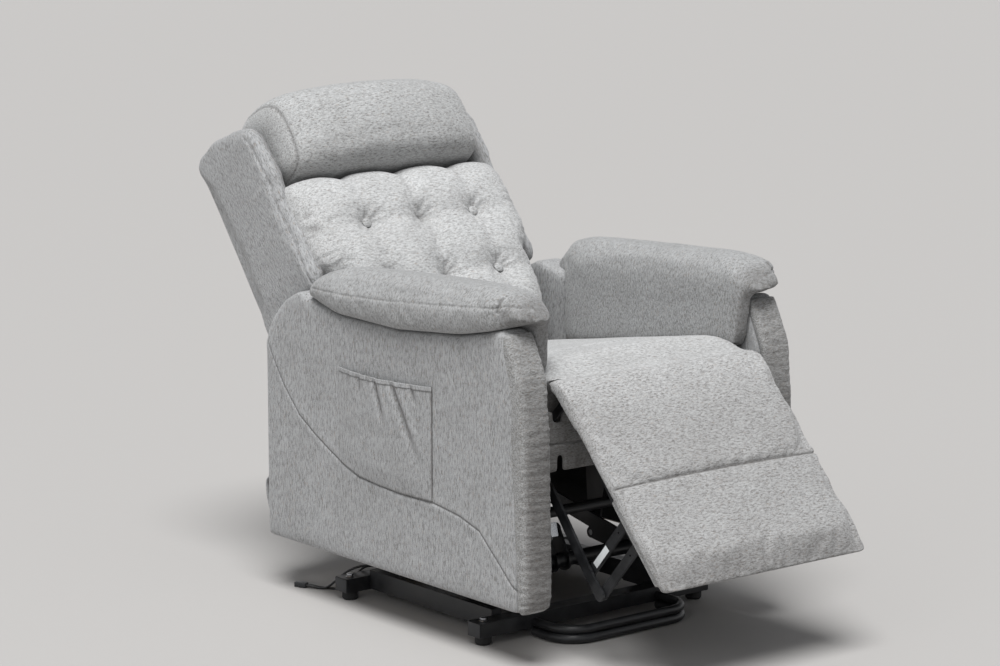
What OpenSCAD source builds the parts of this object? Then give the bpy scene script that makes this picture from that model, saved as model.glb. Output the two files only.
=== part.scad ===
// Lift recliner chair: an upholstered armchair on a steel lifting base.
// Millimetres. +Z is up, the sitter faces -Y, and the sitter's left is +X.
// The origin is on the floor below the middle of the chair as it stands, part reclined.

/* [Arms and side panels] */
// Half width over the outer faces of the side panels
panel_reach = 356; // [345:1:380]
// Thickness of a side panel
panel_wall = 73; // [60:1:80]
// Height of the lower edge of the side panels
panel_foot = 112; // [104:1:122]
// Distance of the rear edge of the side panels behind the origin
panel_rear = 417; // [410:1:425]
// Thickness of the plywood board inside each side panel
arm_board_wall = 18; // [12:1:22]
// Overhang of an arm pad past the outer face of its panel
pad_overhang = 24; // [10:1:30]
// Height of an arm pad at its highest place
pad_top = 738; // [730:1:755]
// Thickness of the pad where it drapes down the inner face of the arm
drape_wall = 14; // [8:1:16]

/* [Side pocket and handset] */
// Depth of the hollow behind the pocket cloth, cut into the panel
pocket_hollow = 14; // [13:1:18]
// How far the pocket cloth stands out of the panel at its fullest
pocket_swell = 12; // [11:1:16]
// Thickness of the pocket cloth
pocket_cloth = 2.4; // [1.5:0.1:3]
// Width of the handset
handset_w = 50; // [40:1:56]
// Height of the handset
handset_h = 150; // [130:1:165]
// Thickness of the handset
handset_t = 18; // [16:1:20]
// Diameter of a handset button
button_d = 15; // [10:1:18]
// Height of a button over the face of the handset
button_proud = 2; // [1.6:0.1:2.4]
// Travel of a button
button_travel = 1.2; // [0.8:0.1:1.4]

/* [Seat] */
// Gap between the seat cushion and the inner face of each arm pad
seat_side_gap = 7; // [5:0.5:16]
// Underside of the seat frame rails
seat_frame_z = 385; // [375:1:390]
// Height of the seat frame rails
seat_frame_h = 55; // [45:1:60]
// Height of the seat cushion at its front edge
seat_front_top = 576; // [560:1:584]
// Height of the seat cushion at its rear edge
seat_rear_top = 486; // [478:1:500]
// Thickness of one layer of webbing
webbing_t = 2; // [1.5:0.1:3]
// Crown of the seat cushion in its middle
seat_crown = 10; // [0:1:14]

/* [Back] */
// Distance of the back's hinge line behind the origin
hinge_y = 237; // [232:1:240]
// Height of the back's hinge line
hinge_z = 470; // [466:1:474]
// Lean of the back from upright, in degrees
back_lean = 38; // [36:1:40]
// Half width of the back shell over its wings
shell_reach = 300; // [290:1:310]
// Thickness of the padded wings of the back shell
wing_wall = 38; // [30:1:38]
// Depth of the rear face of the shell behind the hinge line
shell_rear = 174; // [165:1:180]
// Thickness of the rear wall of the shell
shell_wall = 28; // [20:1:34]
// Height of the shell along its lean
shell_top = 636; // [620:1:650]
// Gap between the head pillow and each wing
pillow_side_gap = 5; // [1:0.5:12]
// Gap between the lumbar cushion and each wing
lumbar_side_gap = 3; // [1:0.5:12]
// Distance between neighbouring tufts
tuft_pitch = 143; // [130:1:150]
// Depth of a tuft
tuft_depth = 26; // [15:1:30]
// Diameter of a covered button
tuft_button_d = 22; // [16:1:26]

/* [Footrest] */
// Gap between the leg pad and the inner plane of each side panel
leg_side_gap = 17; // [16:1:30]
// Length of the leg pad from its hinge to its lower end
leg_len = 449; // [435:1:455]
// Distance from the hinge to the seam across the leg pad
leg_seam = 224; // [210:1:235]
// Slope of the leg pad below level, in degrees
leg_slope = 47.5; // [46:0.5:49]
// Distance from the hinge line to the face of the leg pad
leg_nose = 43.6; // [42:0.1:46]
// Thickness of the leg pad at its edges
leg_pad_t = 27.4; // [22:0.1:28]
// Crown of the leg pad in its middle
leg_crown = 12; // [4:1:14]
// Thickness of the board behind the lower leg pad
leg_board_t = 18; // [14:1:20]

/* [Base and lift linkage] */
// Distance from the inner plane of each side panel to the mechanism side plate
mechanism_inset = 53; // [50:1:56]
// Half length of the base cross tubes
cross_reach = 304; // [295:1:310]
// Side of the square base cross tubes, front to back
cross_w = 40; // [36:1:42]
// Height of the base cross tubes
cross_h = 30; // [26:1:32]
// Wall of the base tubes
tube_wall = 2; // [1.5:0.1:3]
// Height of a foot glide under the cross tubes
glide_h = 18; // [15:1:20]
// Diameter of a foot glide
glide_d = 34; // [28:1:38]
// Width of the base side rails
rail_w = 25; // [22:1:30]
// Height of the base side rails
rail_h = 40; // [36:1:40]
// Diameter of the lower of the two toe loop tubes
loop_d = 20; // [18:1:21]
// Diameter of the upper toe loop tube
loop_upper_d = 18; // [14:1:20]
// Reach of the toe loop in front of the origin, to its centre line
loop_y = -352; // [-360:1:-340]
// Half width of the toe loop to its centre line
loop_reach = 165; // [150:1:175]
// Bend radius of the toe loop
loop_bend = 60; // [50:1:70]
// Thickness of the flat links
link_t = 6; // [5:0.5:6]
// Diameter of the pivot pins of the lift linkage
lift_pin_d = 12; // [10:0.5:13]
// Diameter of the pivot pins of the footrest linkage
foot_pin_d = 10; // [8:0.5:10]
// Radial clearance of a running pivot
run_gap = 0.06; // [0.04:0.01:0.1]
// Radial clearance of a pivot that closes a linkage
open_gap = 0.4; // [0.3:0.05:0.6]
// Clearance of soft pieces from what carries them
soft_gap = 0.3; // [0.2:0.05:0.5]

/* [Hidden] */
$fn = 48;

// Planes of the linkages, as distances from the middle of the chair
panel_in = panel_reach - panel_wall;  // inner plane of each side panel
plate_in = panel_in - mechanism_inset;  // side plates of the seat mechanism
rail_in = plate_in - 10;              // inner face of the base side rails
rail_out = rail_in + rail_w;
plate_out = plate_in + link_t;
link_in = plate_in - 1.5 - link_t;    // links next to the side plates
link_out = link_in + link_t;
bar_out = link_in - 2.5;              // footrest bars and base brackets
bar_in = bar_out - link_t;
arm_out = bar_in - 1.5;               // rear lift arms
arm_in = arm_out - link_t;

// Pivots, each as [y, z]
lift_a = [-119, 105];                 // rear arm on the base
lift_b = [-169, 73];                  // front link on the base
lift_c = [225, 176];                  // rear arm on the chair
lift_d = [38, 100];                   // front link on the chair
crank_r = 65;
crank_lean = 22.5;
crank_pin = lift_a + crank_r * [sin(crank_lean), cos(crank_lean)];
motor_pin = [202, 88];                // lift motor on the base
back_pivot = [hinge_y, hinge_z];
recline_drop = 62;
recline_pin = back_pivot - [0, recline_drop];
recline_motor_pin = [-90, 385];
leg_pivot = [-423, 520];
drive_pivot = [-316, 396];
leg_upper_pin = [-589, 313];
leg_lower_pin = [-624, 275];
bar_span = drive_pivot - leg_pivot;   // each bar, from its pin on the leg arms to its knee
knee_upper = leg_upper_pin + bar_span;
knee_lower = leg_lower_pin + bar_span;

// Base
front_tube_y = -226;
rear_tube_y = 222;
tube_z = glide_h;
tube_top = tube_z + cross_h;
rail_z = tube_z + 2;
foot_x = cross_reach - 22;

// Side panel outline, front to back
corner_r = 192;                       // the rear upper corner turns about the back's hinge
facing_y = -420;                      // seam between the panel and its front facing
panel_top = [[-371, 667], [-341, 658], [-248, 639], [-55, 621], [147, 623], [245, 641]];
panel_front = [[-417, 576], [-440, 490], [-447, 464], [-454, 151], [-448, 124], [-430, panel_foot]];
panel_outline = concat(
    [[panel_rear, panel_foot]],
    [for (a = [18:9:72]) back_pivot + corner_r * [cos(a), sin(a)]],
    [for (i = [5:-1:0]) panel_top[i]], panel_front);

seat_top = seat_frame_z + seat_frame_h;
seat_reach = panel_in - drape_wall - seat_side_gap;
leg_reach = panel_in - leg_side_gap;
seat_rail_len = 590;
deck_z = seat_top + 2 * webbing_t;
seat_front_y = -371;
seat_rear_y = 199;
frame_front_y = -389;

function turn(v, a) = [v.x * cos(a) - v.y * sin(a), v.x * sin(a) + v.y * cos(a)];
function unit(v) = v / norm(v);
// Share of full size that an edge keeps at part t of its half width
function drawn_in(t, p) = pow(1 - pow(min(t, 0.998), p), 1 / p);
function bell(d, w) = exp(-d * d / (w * w));
function clear_of(p, c, r) = norm(p - c) < r ? c + r * unit(p - c) : p;

// Closed skin over rings with equal numbers of points. The ends close on a middle point,
// or, for a sheet, from one face straight to the other.
module skin(rings, sheet = false) {
    n = len(rings[0]);
    m = len(rings);
    top = (m - 1) * n;
    ends = [for (r = [rings[0], rings[m - 1]]) [for (k = [0:2]) [for (q = r) q[k]] * [for (q = r) 1 / n]]];
    sides = [for (i = [0:m - 2], j = [0:n - 1])
        let (a = i * n + j, b = i * n + (j + 1) % n)
        each [[a, b + n, b], [a, a + n, b + n]]];
    caps = sheet
        ? [for (j = [0:n / 2 - 2]) let (a = j, b = j + 1, c = n - 2 - j, d = n - 1 - j)
            each [[b, c, d], [a, b, d], [top + c, top + b, top + a], [top + d, top + c, top + a]]]
        : [for (j = [0:n - 1]) let (k = (j + 1) % n) each [[m * n, j, k], [m * n + 1, top + k, top + j]]];
    polyhedron(concat([for (r = rings) each r], sheet ? [] : ends), concat(sides, caps));
}

// Flat shapes drawn front to back and up, given their thickness across the chair
module across(x0, x1) {
    translate([x0, 0, 0]) rotate([90, 0, 90]) linear_extrude(x1 - x0) children();
}

module cross_pin(p, d, x0, x1) {
    translate([x0, p.x, p.y]) rotate([0, 90, 0]) cylinder(d = d, h = x1 - x0);
}

module pair() {
    children();
    mirror([1, 0, 0]) children();
}

// Flat bar with an eye a little wider than the bar at each end
module strap(p, q, w) {
    translate(p) circle(d = w + 2);
    translate(q) circle(d = w + 2);
    translate(p) rotate(atan2(q.y - p.y, q.x - p.x)) translate([0, -w / 2]) square([norm(q - p), w]);
}

module hole(p, d) {
    translate(p) circle(d = d);
}

// ---------- base ----------

module box_tube(size) {
    difference() {
        cube(size);
        translate([-1, tube_wall, tube_wall])
            cube([size.x + 2, size.y - 2 * tube_wall, size.z - 2 * tube_wall]);
    }
}

module base_cross_tube(y) {
    translate([-cross_reach, y - cross_w / 2, tube_z]) box_tube([2 * cross_reach, cross_w, cross_h]);
    cap_t = 3;
    pair() translate([cross_reach - cap_t, y - cross_w / 2 + tube_wall, tube_z + tube_wall])
        cube([cap_t, cross_w - 2 * tube_wall, cross_h - 2 * tube_wall]);
}

module base_front_tube() {
    color([0.08, 0.08, 0.09]) base_cross_tube(front_tube_y);
}

module base_rear_tube() {
    color([0.08, 0.08, 0.09]) base_cross_tube(rear_tube_y);
}

module base_side_rails() {
    y0 = front_tube_y + cross_w / 2;
    y1 = rear_tube_y - cross_w / 2;
    color([0.08, 0.08, 0.09]) pair() translate([rail_in, y0, rail_z]) cube([rail_w, y1 - y0, rail_h]);
}

module loop_tube(d, z) {
    y0 = front_tube_y - cross_w / 2;
    pair() {
        translate([loop_reach, y0, z]) rotate([90, 0, 0]) cylinder(d = d, h = y0 - loop_y - loop_bend);
        translate([loop_reach - loop_bend, loop_y + loop_bend, z]) rotate([0, 0, -90])
            rotate_extrude(angle = 90) translate([loop_bend, 0]) circle(d = d);
    }
    translate([loop_bend - loop_reach, loop_y, z]) rotate([0, 90, 0]) cylinder(d = d, h = 2 * (loop_reach - loop_bend));
}

loop_z = 1 + loop_d / 2;

module toe_loop() {
    tongue_w = 12;
    color([0.08, 0.08, 0.09]) {
        loop_tube(loop_d, loop_z);
        // the lower loop hooks up to the front of the cross tube on two tongues
        pair() translate([loop_reach - tongue_w / 2, front_tube_y - cross_w / 2 - 1, loop_z]) cube([tongue_w, 1, 15]);
    }
}

module toe_loop_upper() {
    color([0.08, 0.08, 0.09]) difference() {
        loop_tube(loop_upper_d, 1 + loop_d + 0.1 + loop_upper_d / 2);
        // room for the tongues of the lower loop
        pair() translate([loop_reach - 6.2, front_tube_y - cross_w / 2 - 1.2, loop_z]) cube([12.4, 2, 15.4]);
    }
}

module foot_glides() {
    color([0.05, 0.05, 0.05]) pair() for (y = [front_tube_y, rear_tube_y])
        translate([foot_x, y, 0]) {
            cylinder(d1 = glide_d - 6, d2 = glide_d, h = 4);
            translate([0, 0, 4]) cylinder(d = glide_d, h = glide_h - 4);
        }
}

module lift_base_brackets() {
    color([0.09, 0.09, 0.1]) pair() across(bar_in, rail_in) difference() {
        union() {
            strap(lift_a, lift_b, 30);
            polygon([[lift_b.x - 25, rail_z], [lift_b.x - 15, lift_b.y], lift_a + [-12, 9],
                lift_a + [15, 0], [lift_a.x + 40, rail_z]]);
        }
        hole(lift_a, lift_pin_d);
        hole(lift_b, lift_pin_d);
    }
}

module lift_base_pins() {
    color([0.6, 0.6, 0.62]) pair() {
        cross_pin(lift_a, lift_pin_d, arm_in + 0.5, rail_in);
        cross_pin(lift_b, lift_pin_d, bar_in, link_out + 0.5);
    }
}

module lift_motor_clevis() {
    ear_in = 15;
    ear_t = 5;
    color([0.09, 0.09, 0.1]) {
        pair() across(ear_in, ear_in + ear_t) difference() {
            union() {
                translate(motor_pin) circle(d = 26);
                polygon([motor_pin + [-13, 0], [motor_pin.x, tube_top], [motor_pin.x + 34, tube_top],
                    motor_pin + [13, 0]]);
            }
            hole(motor_pin, lift_pin_d);
        }
        cross_pin(motor_pin, lift_pin_d, -ear_in - ear_t, ear_in + ear_t);
    }
}

module power_box() {
    color([0.12, 0.12, 0.13]) translate([-190, 205, tube_top]) cube([100, 34, 42]);
}

// ---------- the short power lead: two thin strands that meet in one plug ----------

lead_d = 5;
upper_route = [[-190, 214, 60], [-203, 214, 60], [-217, 219, 61], [-231, 231, 61], [-244, 246, 57],
    [-255, 262, 48], [-264, 277, 35], [-271, 291, 21], [-277, 303, 10], [-282, 313, 4], [-287, 322, 2.8],
    [-294, 332, 4], [-301.3, 341.2, 6], [-305, 348.2, 6]];
lower_route = [[-190, 227, 60], [-199, 227, 60], [-213, 234, 58], [-225, 246, 54], [-234, 258, 42],
    [-242, 268, 27], [-249, 278, 14], [-256, 287, 5], [-265, 299, 2.8], [-273, 312, 2.8], [-281, 325, 2.8],
    [-288, 335, 3.8], [-295.1, 344.5, 6], [-298.9, 351.6, 6]];

module swept_lead(route) {
    sides = 8;
    last = len(route) - 1;
    rings = [for (i = [0:last])
        let (t = unit(route[min(i + 1, last)] - route[max(i - 1, 0)]),
            u = unit(cross(t, [0, 0, 1])),
            v = cross(u, t))
        [for (k = [0:sides - 1]) route[i] + lead_d / 2 * (cos(-45 * k) * u + sin(-45 * k) * v)]];
    skin(rings);
}

module power_lead_upper() {
    color([0.05, 0.05, 0.05]) swept_lead(upper_route);
}

module power_lead_lower() {
    color([0.05, 0.05, 0.05]) swept_lead(lower_route);
}

module power_lead_plug() {
    color([0.05, 0.05, 0.05]) translate([-302, 350, 1]) rotate([0, 0, 28]) {
        translate([-8, 0, 0]) cube([16, 18, 10]);
        translate([-5, 18, 2]) cube([10, 10, 6]);
    }
}

// ---------- lift linkage ----------

module rear_lift_arms() {
    color([0.09, 0.09, 0.1]) pair() across(arm_in, arm_out) difference() {
        strap(lift_a, lift_c, 32);
        hole(lift_a, lift_pin_d + 2 * run_gap);
        hole(lift_c, lift_pin_d);
    }
}

torque_d = 30;

module lift_torque_tube() {
    color([0.09, 0.09, 0.1]) cross_pin(lift_a, torque_d, -arm_in, arm_in);
}

module lift_crank() {
    ear_in = 13;
    ear_t = 6;
    color([0.09, 0.09, 0.1]) {
        pair() across(ear_in, ear_in + ear_t) difference() {
            union() {
                translate(crank_pin) circle(d = 26);
                translate(lift_a) circle(d = torque_d + 16);
                polygon([lift_a + [-20, 6], crank_pin + [-12, 3], crank_pin + [12, -3], lift_a + [22, -4]]);
            }
            hole(lift_a, torque_d);
            hole(crank_pin, lift_pin_d);
        }
        cross_pin(crank_pin, lift_pin_d, -ear_in - ear_t, ear_in + ear_t);
    }
}

module lift_arm_pins() {
    color([0.6, 0.6, 0.62]) pair() cross_pin(lift_c, lift_pin_d, arm_in, plate_out);
}

module front_lift_links() {
    color([0.09, 0.09, 0.1]) pair() across(link_in, link_out) difference() {
        strap(lift_b, lift_d, 22);
        hole(lift_b, lift_pin_d + 2 * run_gap);
        hole(lift_d, lift_pin_d + 2 * open_gap);
    }
}

// An actuator lies along a line from its pin to the pin that it pushes, in the middle of the chair
module along(p, q) {
    translate([0, p.x, p.y]) rotate([atan2(q.y - p.y, q.x - p.x), 0, 0]) children();
}

module eye(d_out, bore, w) {
    rotate([0, 90, 0]) difference() {
        cylinder(d = d_out, h = w, center = true);
        cylinder(d = bore, h = w + 2, center = true);
    }
}

module actuator_body(bore, tube_len, rod_d) {
    color([0.1, 0.1, 0.11]) {
        eye(24, bore, 22);
        difference() {
            translate([-11, 8, -10]) cube([22, 26, 20]);
            rotate([0, 90, 0]) cylinder(d = bore, h = 40, center = true);
        }
        translate([0, 34, 0]) rotate([-90, 0, 0]) difference() {
            cylinder(d = 34, h = tube_len);
            translate([0, 0, 46]) cylinder(d = rod_d + 1, h = tube_len);
        }
        translate([-20, 34, -19]) cube([40, 44, 38]);
        translate([38, 40, 0]) rotate([-90, 0, 0]) cylinder(d = 36, h = 92);
        translate([19, 40, -14]) cube([20, 34, 28]);
    }
}

module actuator_rod(reach, rod_d, start, pin_d, slot) {
    color([0.7, 0.7, 0.72]) {
        translate([0, start, 0]) rotate([-90, 0, 0]) cylinder(d = rod_d, h = reach - start - pin_d / 2 - 5);
        translate([0, reach, 0]) rotate([0, 90, 0]) linear_extrude(18, center = true) difference() {
            union() {
                circle(d = pin_d + 14);
                square([pin_d + 14 + slot, pin_d + 14], center = true);
            }
            square([pin_d + 2 * slot, pin_d + 2 * run_gap + 2], center = true);
        }
    }
}

lift_stroke_line = norm(crank_pin - motor_pin);
lift_slot = 3.6;

module lift_motor() {
    along(motor_pin, crank_pin) actuator_body(lift_pin_d + 2 * run_gap, 190, 20);
}

module lift_ram() {
    along(motor_pin, crank_pin) actuator_rod(lift_stroke_line, 20, 84, lift_pin_d, lift_slot);
}

// ---------- seat mechanism and frame ----------

front_cross = [-263, 255];
rear_cross = [258, 232];
cross_d = 22;

module mechanism_side_plates() {
    color([0.09, 0.09, 0.1]) pair() across(plate_in, plate_out) difference() {
        union() {
            polygon([[frame_front_y, seat_top - 6], [frame_front_y, seat_frame_z], [-352, 372], [-292, 240],
                [-240, 240], [-205, 330], [-20, 330], [lift_d.x - 15, lift_d.y + 2], [lift_d.x + 15, lift_d.y + 2],
                [70, 330], [175, 320], [lift_c.x - 17, lift_c.y], [lift_c.x + 17, lift_c.y], [280, 225],
                [282, 270], [256, 330], [256, hinge_z], [219, hinge_z], [212, seat_top - 6]]);
            translate(lift_c) circle(d = 36);
            translate(lift_d) circle(d = 30);
            translate(back_pivot) circle(d = 38);
            strap([-381, 430], [-381, 478], 12);
            strap([-381, 478], leg_pivot, 16);
            translate(leg_pivot) circle(d = 24);
        }
        hole(lift_c, lift_pin_d + 2 * run_gap);
        hole(lift_d, lift_pin_d);
        hole(back_pivot, lift_pin_d);
        hole(leg_pivot, foot_pin_d);
        hole(drive_pivot, 14 + 2 * run_gap);
        hole(front_cross, cross_d);
        hole(rear_cross, cross_d);
        hole(recline_motor_pin, lift_pin_d);
    }
}

module mechanism_cross_tubes() {
    color([0.09, 0.09, 0.1]) {
        cross_pin(front_cross, cross_d, -plate_out, plate_out);
        cross_pin(rear_cross, cross_d, -plate_out, plate_out);
        cross_pin(recline_motor_pin, lift_pin_d, -plate_out, plate_out);
    }
}

module chair_pivot_pins() {
    color([0.6, 0.6, 0.62]) pair() {
        cross_pin(lift_d, lift_pin_d, link_in, plate_out);
        cross_pin(back_pivot, lift_pin_d, link_in, plate_out);
        cross_pin(leg_pivot, foot_pin_d, link_in, plate_out);
    }
}

module seat_side_rails() {
    color([0.72, 0.58, 0.4]) pair() translate([plate_out, frame_front_y, seat_frame_z])
        cube([panel_in - plate_out, seat_rail_len, seat_frame_h]);
}

module seat_end_rails() {
    color([0.72, 0.58, 0.4]) {
        translate([-plate_in, frame_front_y + 18, seat_frame_z + 26]) cube([2 * plate_in, 24, seat_frame_h - 26]);
        translate([-plate_in, 140, seat_top - 18]) cube([2 * plate_in, 32, 18]);
    }
}

module rear_bottom_rail() {
    color([0.72, 0.58, 0.4]) translate([-panel_in, panel_rear - 24, panel_foot + 8]) cube([2 * panel_in, 24, 50]);
}

module seat_webbing() {
    side = plate_out + 26;
    color([0.15, 0.15, 0.16]) {
        for (y = [-310:100:90]) translate([-side, y, seat_top]) cube([2 * side, 50, webbing_t]);
        for (x = [-170:95:210]) translate([x - 25, -330, seat_top + webbing_t]) cube([50, 500, webbing_t]);
    }
}

function seat_surface(y) = lookup(y, [[-371, seat_front_top], [-319, 573], [seat_rear_y, seat_rear_top]]);

module seat_cushion() {
    base = deck_z + soft_gap;
    foot = [-90, base];
    outline = concat(
        [for (y = [-366, -250, -100, 50, 190]) [y, base]],
        [[seat_rear_y, base + 14], [seat_rear_y, seat_rear_top - 16], [190, seat_rear_top - 3]],
        [for (y = [150:-65:-305]) [y, seat_surface(y)]],
        [[-350, 575], [-376, seat_front_top + 1], [-392, 573], [-400, 568], [-393, 560], [-383, 548],
            [-376, 530], [seat_front_y, 505]]);
    fractions = [-1, -0.97, -0.9, -0.78, -0.6, -0.35, 0, 0.35, 0.6, 0.78, 0.9, 0.97, 1];
    color([0.7, 0.69, 0.67]) skin([for (t = fractions)
        let (f = drawn_in(abs(t), 9), crown = seat_crown * (1 - t * t))
        [for (q = outline)
            let (lift = q.y > seat_rear_top - 6 && q.x > -370 ? crown : 0,
                drawn = [foot.x + (q.x - foot.x) * (0.97 + 0.03 * f), foot.y + (q.y + lift - foot.y) * f],
                p = clear_of(drawn, leg_pivot, leg_nose + 4))
            [t * seat_reach, p.x, p.y]]]);
}

module seat_valance() {
    reach = panel_in - soft_gap;
    color([0.62, 0.61, 0.6]) difference() {
        translate([-reach, frame_front_y - 11, seat_frame_z - 11]) cube([2 * reach, 11, 88]);
        // slots that the raised footrest links swing up into
        pair() translate([link_in - 3, frame_front_y - 12, seat_frame_z - 12]) cube([link_t + 6, 13, 33]);
    }
}

// ---------- arms ----------

module panel_shape() {
    polygon(panel_outline);
}

pocket_top = [[-161, 522], [13, 514], [149, 517]];
pocket_bottom = [[-160, 298], [-52, 295], [83, 297], [149, 318]];
hollow_y = [-150, 100];
hollow_z = [322, 505];

module board_shape() {
    polygon([[-380, panel_foot], [380, panel_foot], [380, 500], [290, 590], [-360, 590], [-380, 480]]);
}

module side_panel(hollowed) {
    color([0.72, 0.71, 0.7]) difference() {
        across(panel_in, panel_reach) intersection() {
            panel_shape();
            translate([facing_y, 0]) square([1000, 1000]);
        }
        across(panel_in + 10, panel_in + 10 + arm_board_wall) board_shape();
        if (hollowed)
            translate([panel_reach - pocket_hollow, hollow_y[0], hollow_z[0]])
                cube([pocket_hollow + 1, hollow_y[1] - hollow_y[0], hollow_z[1] - hollow_z[0]]);
    }
}

module side_panel_right() {
    mirror([1, 0, 0]) side_panel(true);
}

module side_panel_left() {
    side_panel(false);
}

module arm_board() {
    color([0.72, 0.58, 0.4]) across(panel_in + 10, panel_in + 10 + arm_board_wall) board_shape();
}

module arm_board_right() {
    mirror([1, 0, 0]) arm_board();
}

module arm_board_left() {
    arm_board();
}

module arm_front() {
    edge = 24;
    color([0.6, 0.59, 0.58]) intersection() {
        across(panel_in, panel_reach) intersection() {
            panel_shape();
            translate([facing_y - 500, 0]) square([500, 1000]);
        }
        linear_extrude(1000) {
            translate([panel_in, facing_y]) square([panel_wall, 10]);
            for (x = [panel_in + edge, panel_reach - edge]) translate([x, -454.2 + edge]) circle(r = edge);
            translate([panel_in, -454.2 + edge]) square([panel_wall, facing_y + 454.2 - edge]);
            translate([panel_in + edge, -454.2]) square([panel_wall - 2 * edge, edge]);
        }
    }
}

module arm_front_right() {
    mirror([1, 0, 0]) arm_front();
}

module arm_front_left() {
    arm_front();
}

function pad_crest(y) = lookup(y, [[-430, pad_top - 14], [-416, pad_top - 5], [-395, pad_top - 1], [-341, pad_top],
    [-121, pad_top - 2], [20, pad_top - 12], [112, pad_top - 20], [160, pad_top - 30], [200, pad_top - 56],
    [236, pad_top - 85]]);
function pad_seat(y) = lookup(y, panel_top) + soft_gap;
function drape_end(y) = lookup(y, [[-436, 690], [-400, 640], [-385, 588], [-345, 560], [-330, 492], [195, 492],
    [217, 532], [250, 640]]);

// Ring of the arm pad across the chair, from the outer lower edge over the top and down inside
function pad_ring(y, full, outer) =
    let (low = max(pad_seat(y), y < -371 ? pad_seat(-371) + (-371 - y) * 0.25 : 0),
        top = low + (pad_crest(y) - low) * full,
        mid = (low + top) / 2,
        k = min(1, (top - low) / 48),
        inside = panel_in - soft_gap,
        face = panel_in - drape_wall,
        end = min(drape_end(y), low - 6))
    [for (q = [[inside, low], [outer - 22, low], [outer - 8, low + 8 * k], [outer, mid], [outer - 5, top - 16 * k],
        [outer - 26, top - 6 * k], [(outer + face) / 2, top], [face + 20, top - 8 * k], [face + 4, top - 26 * k],
        [face, mid], [face, (low + end) / 2], [face + 2, end + 6], [inside - 2, end]]) [q[0], y, q[1]]];

module arm_pad() {
    reach = panel_reach + pad_overhang;
    // [y, share of full height, outer reach]
    stations = [[-430, 0.5, panel_in + 26], [-427, 0.8, panel_in + 32], [-416, 0.95, panel_in + 40],
        [-396, 1, panel_in + 46], [-376, 1, panel_in + 52], [-362, 1, panel_reach - 10], [-350, 1, panel_reach + 12],
        [-330, 1, reach - 4], [-290, 1, reach], [-210, 1, reach], [-120, 1, reach], [-30, 1, reach - 1],
        [60, 1, reach - 3], [130, 1, reach - 5], [180, 1, reach - 8], [212, 0.95, reach - 14], [228, 0.75, reach - 20],
        [236, 0.3, reach - 26]];
    color([0.7, 0.69, 0.68]) skin([for (s = stations) let (r = pad_ring(s[0], s[1], s[2]))
        [for (k = [len(r) - 1:-1:0]) r[k]]]);
}

module arm_pad_right() {
    mirror([1, 0, 0]) arm_pad();
}

module arm_pad_left() {
    arm_pad();
}

// Pocket: a sheet sewn down at its ends and lower edge, slack at its mouth, with gathered folds
function pocket_swelling(u, v) = pocket_swell * pow(sin(180 * u), 0.6) * (0.25 + 0.75 * pow(v, 0.7))
    + 1.6 * v * sin(180 * u) * sin(1440 * u + 200 * v);

module side_pocket() {
    across_steps = 16;
    up_steps = 7;
    y0 = pocket_top[0].x;
    y1 = pocket_top[2].x;
    rings = [for (i = [0:across_steps])
        let (u = i / across_steps,
            y = y0 + (y1 - y0) * u,
            z0 = lookup(y, pocket_bottom),
            z1 = lookup(y, pocket_top))
        concat(
            [for (j = [0:up_steps]) let (v = j / up_steps)
                [-panel_reach - soft_gap - pocket_cloth - (j == 0 ? 0 : pocket_swelling(u, v)), y, z0 + (z1 - z0) * v]],
            [for (j = [up_steps:-1:0]) let (v = j / up_steps)
                [-panel_reach - soft_gap - (j == 0 ? 0 : pocket_swelling(u, v)), y, z0 + (z1 - z0) * v]])];
    color([0.72, 0.71, 0.7]) skin(rings, sheet = true);
}

handset_x = -panel_reach + pocket_hollow;      // back of the handset, on the floor of the hollow
handset_y = -45;
handset_z = hollow_z[0];
button_rows = [44, 72, 100, 128];

module handset() {
    face = handset_x - handset_t;
    color([0.2, 0.2, 0.22]) difference() {
        translate([face, handset_y - handset_w / 2, handset_z]) cube([handset_t, handset_w, handset_h]);
        for (h = button_rows) translate([face - 1, handset_y, handset_z + h]) rotate([0, 90, 0])
            cylinder(d = button_d + 0.4, h = 1 + 5);
    }
}

module handset_button(i) {
    face = handset_x - handset_t;
    stem = 5 - button_travel - 0.3;
    color([0.75, 0.75, 0.76]) translate([face - button_proud, handset_y, handset_z + button_rows[i]])
        rotate([0, 90, 0]) cylinder(d = button_d, h = button_proud + stem);
}

module button_raise() {
    handset_button(3);
}

module button_lower() {
    handset_button(2);
}

module button_recline() {
    handset_button(1);
}

module button_upright() {
    handset_button(0);
}

// Rear skirt: slack cloth behind the seat with two long folds
module rear_skirt() {
    reach = 322;
    skirt_t = 4;
    spine = [[panel_rear + soft_gap, 122], [436, 133], [462, 150], [482, 190], [487, 250], [487, 310],
        [478, 365], [470, 400]];
    last = len(spine) - 1;
    rings = [for (i = [-10:10])
        let (x = i / 10 * reach,
            fold = [for (k = [0:last]) 5 * sin(180 * k / last) * cos(x * 1.9)])
        concat([for (k = [0:last]) [x, spine[k].x + fold[k] + skirt_t, spine[k].y]],
            [for (k = [last:-1:0]) [x, spine[k].x + fold[k], spine[k].y]])];
    color([0.68, 0.67, 0.66]) skin(rings, sheet = true);
}

// ---------- back ----------

module on_back() {
    translate([0, hinge_y, hinge_z]) rotate([-back_lean, 0, 0]) children();
}

frame_face = 58;                      // front of the back uprights, behind the hinge line
upright_depth = 40;
upright_w = 30;
rail_depth = 25;
cushion_back = frame_face - webbing_t - soft_gap;
wing_in = shell_reach - wing_wall;
pillow_reach = wing_in - pillow_side_gap;
lumbar_reach = wing_in - lumbar_side_gap;
wing_r = corner_r + 4;

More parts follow.
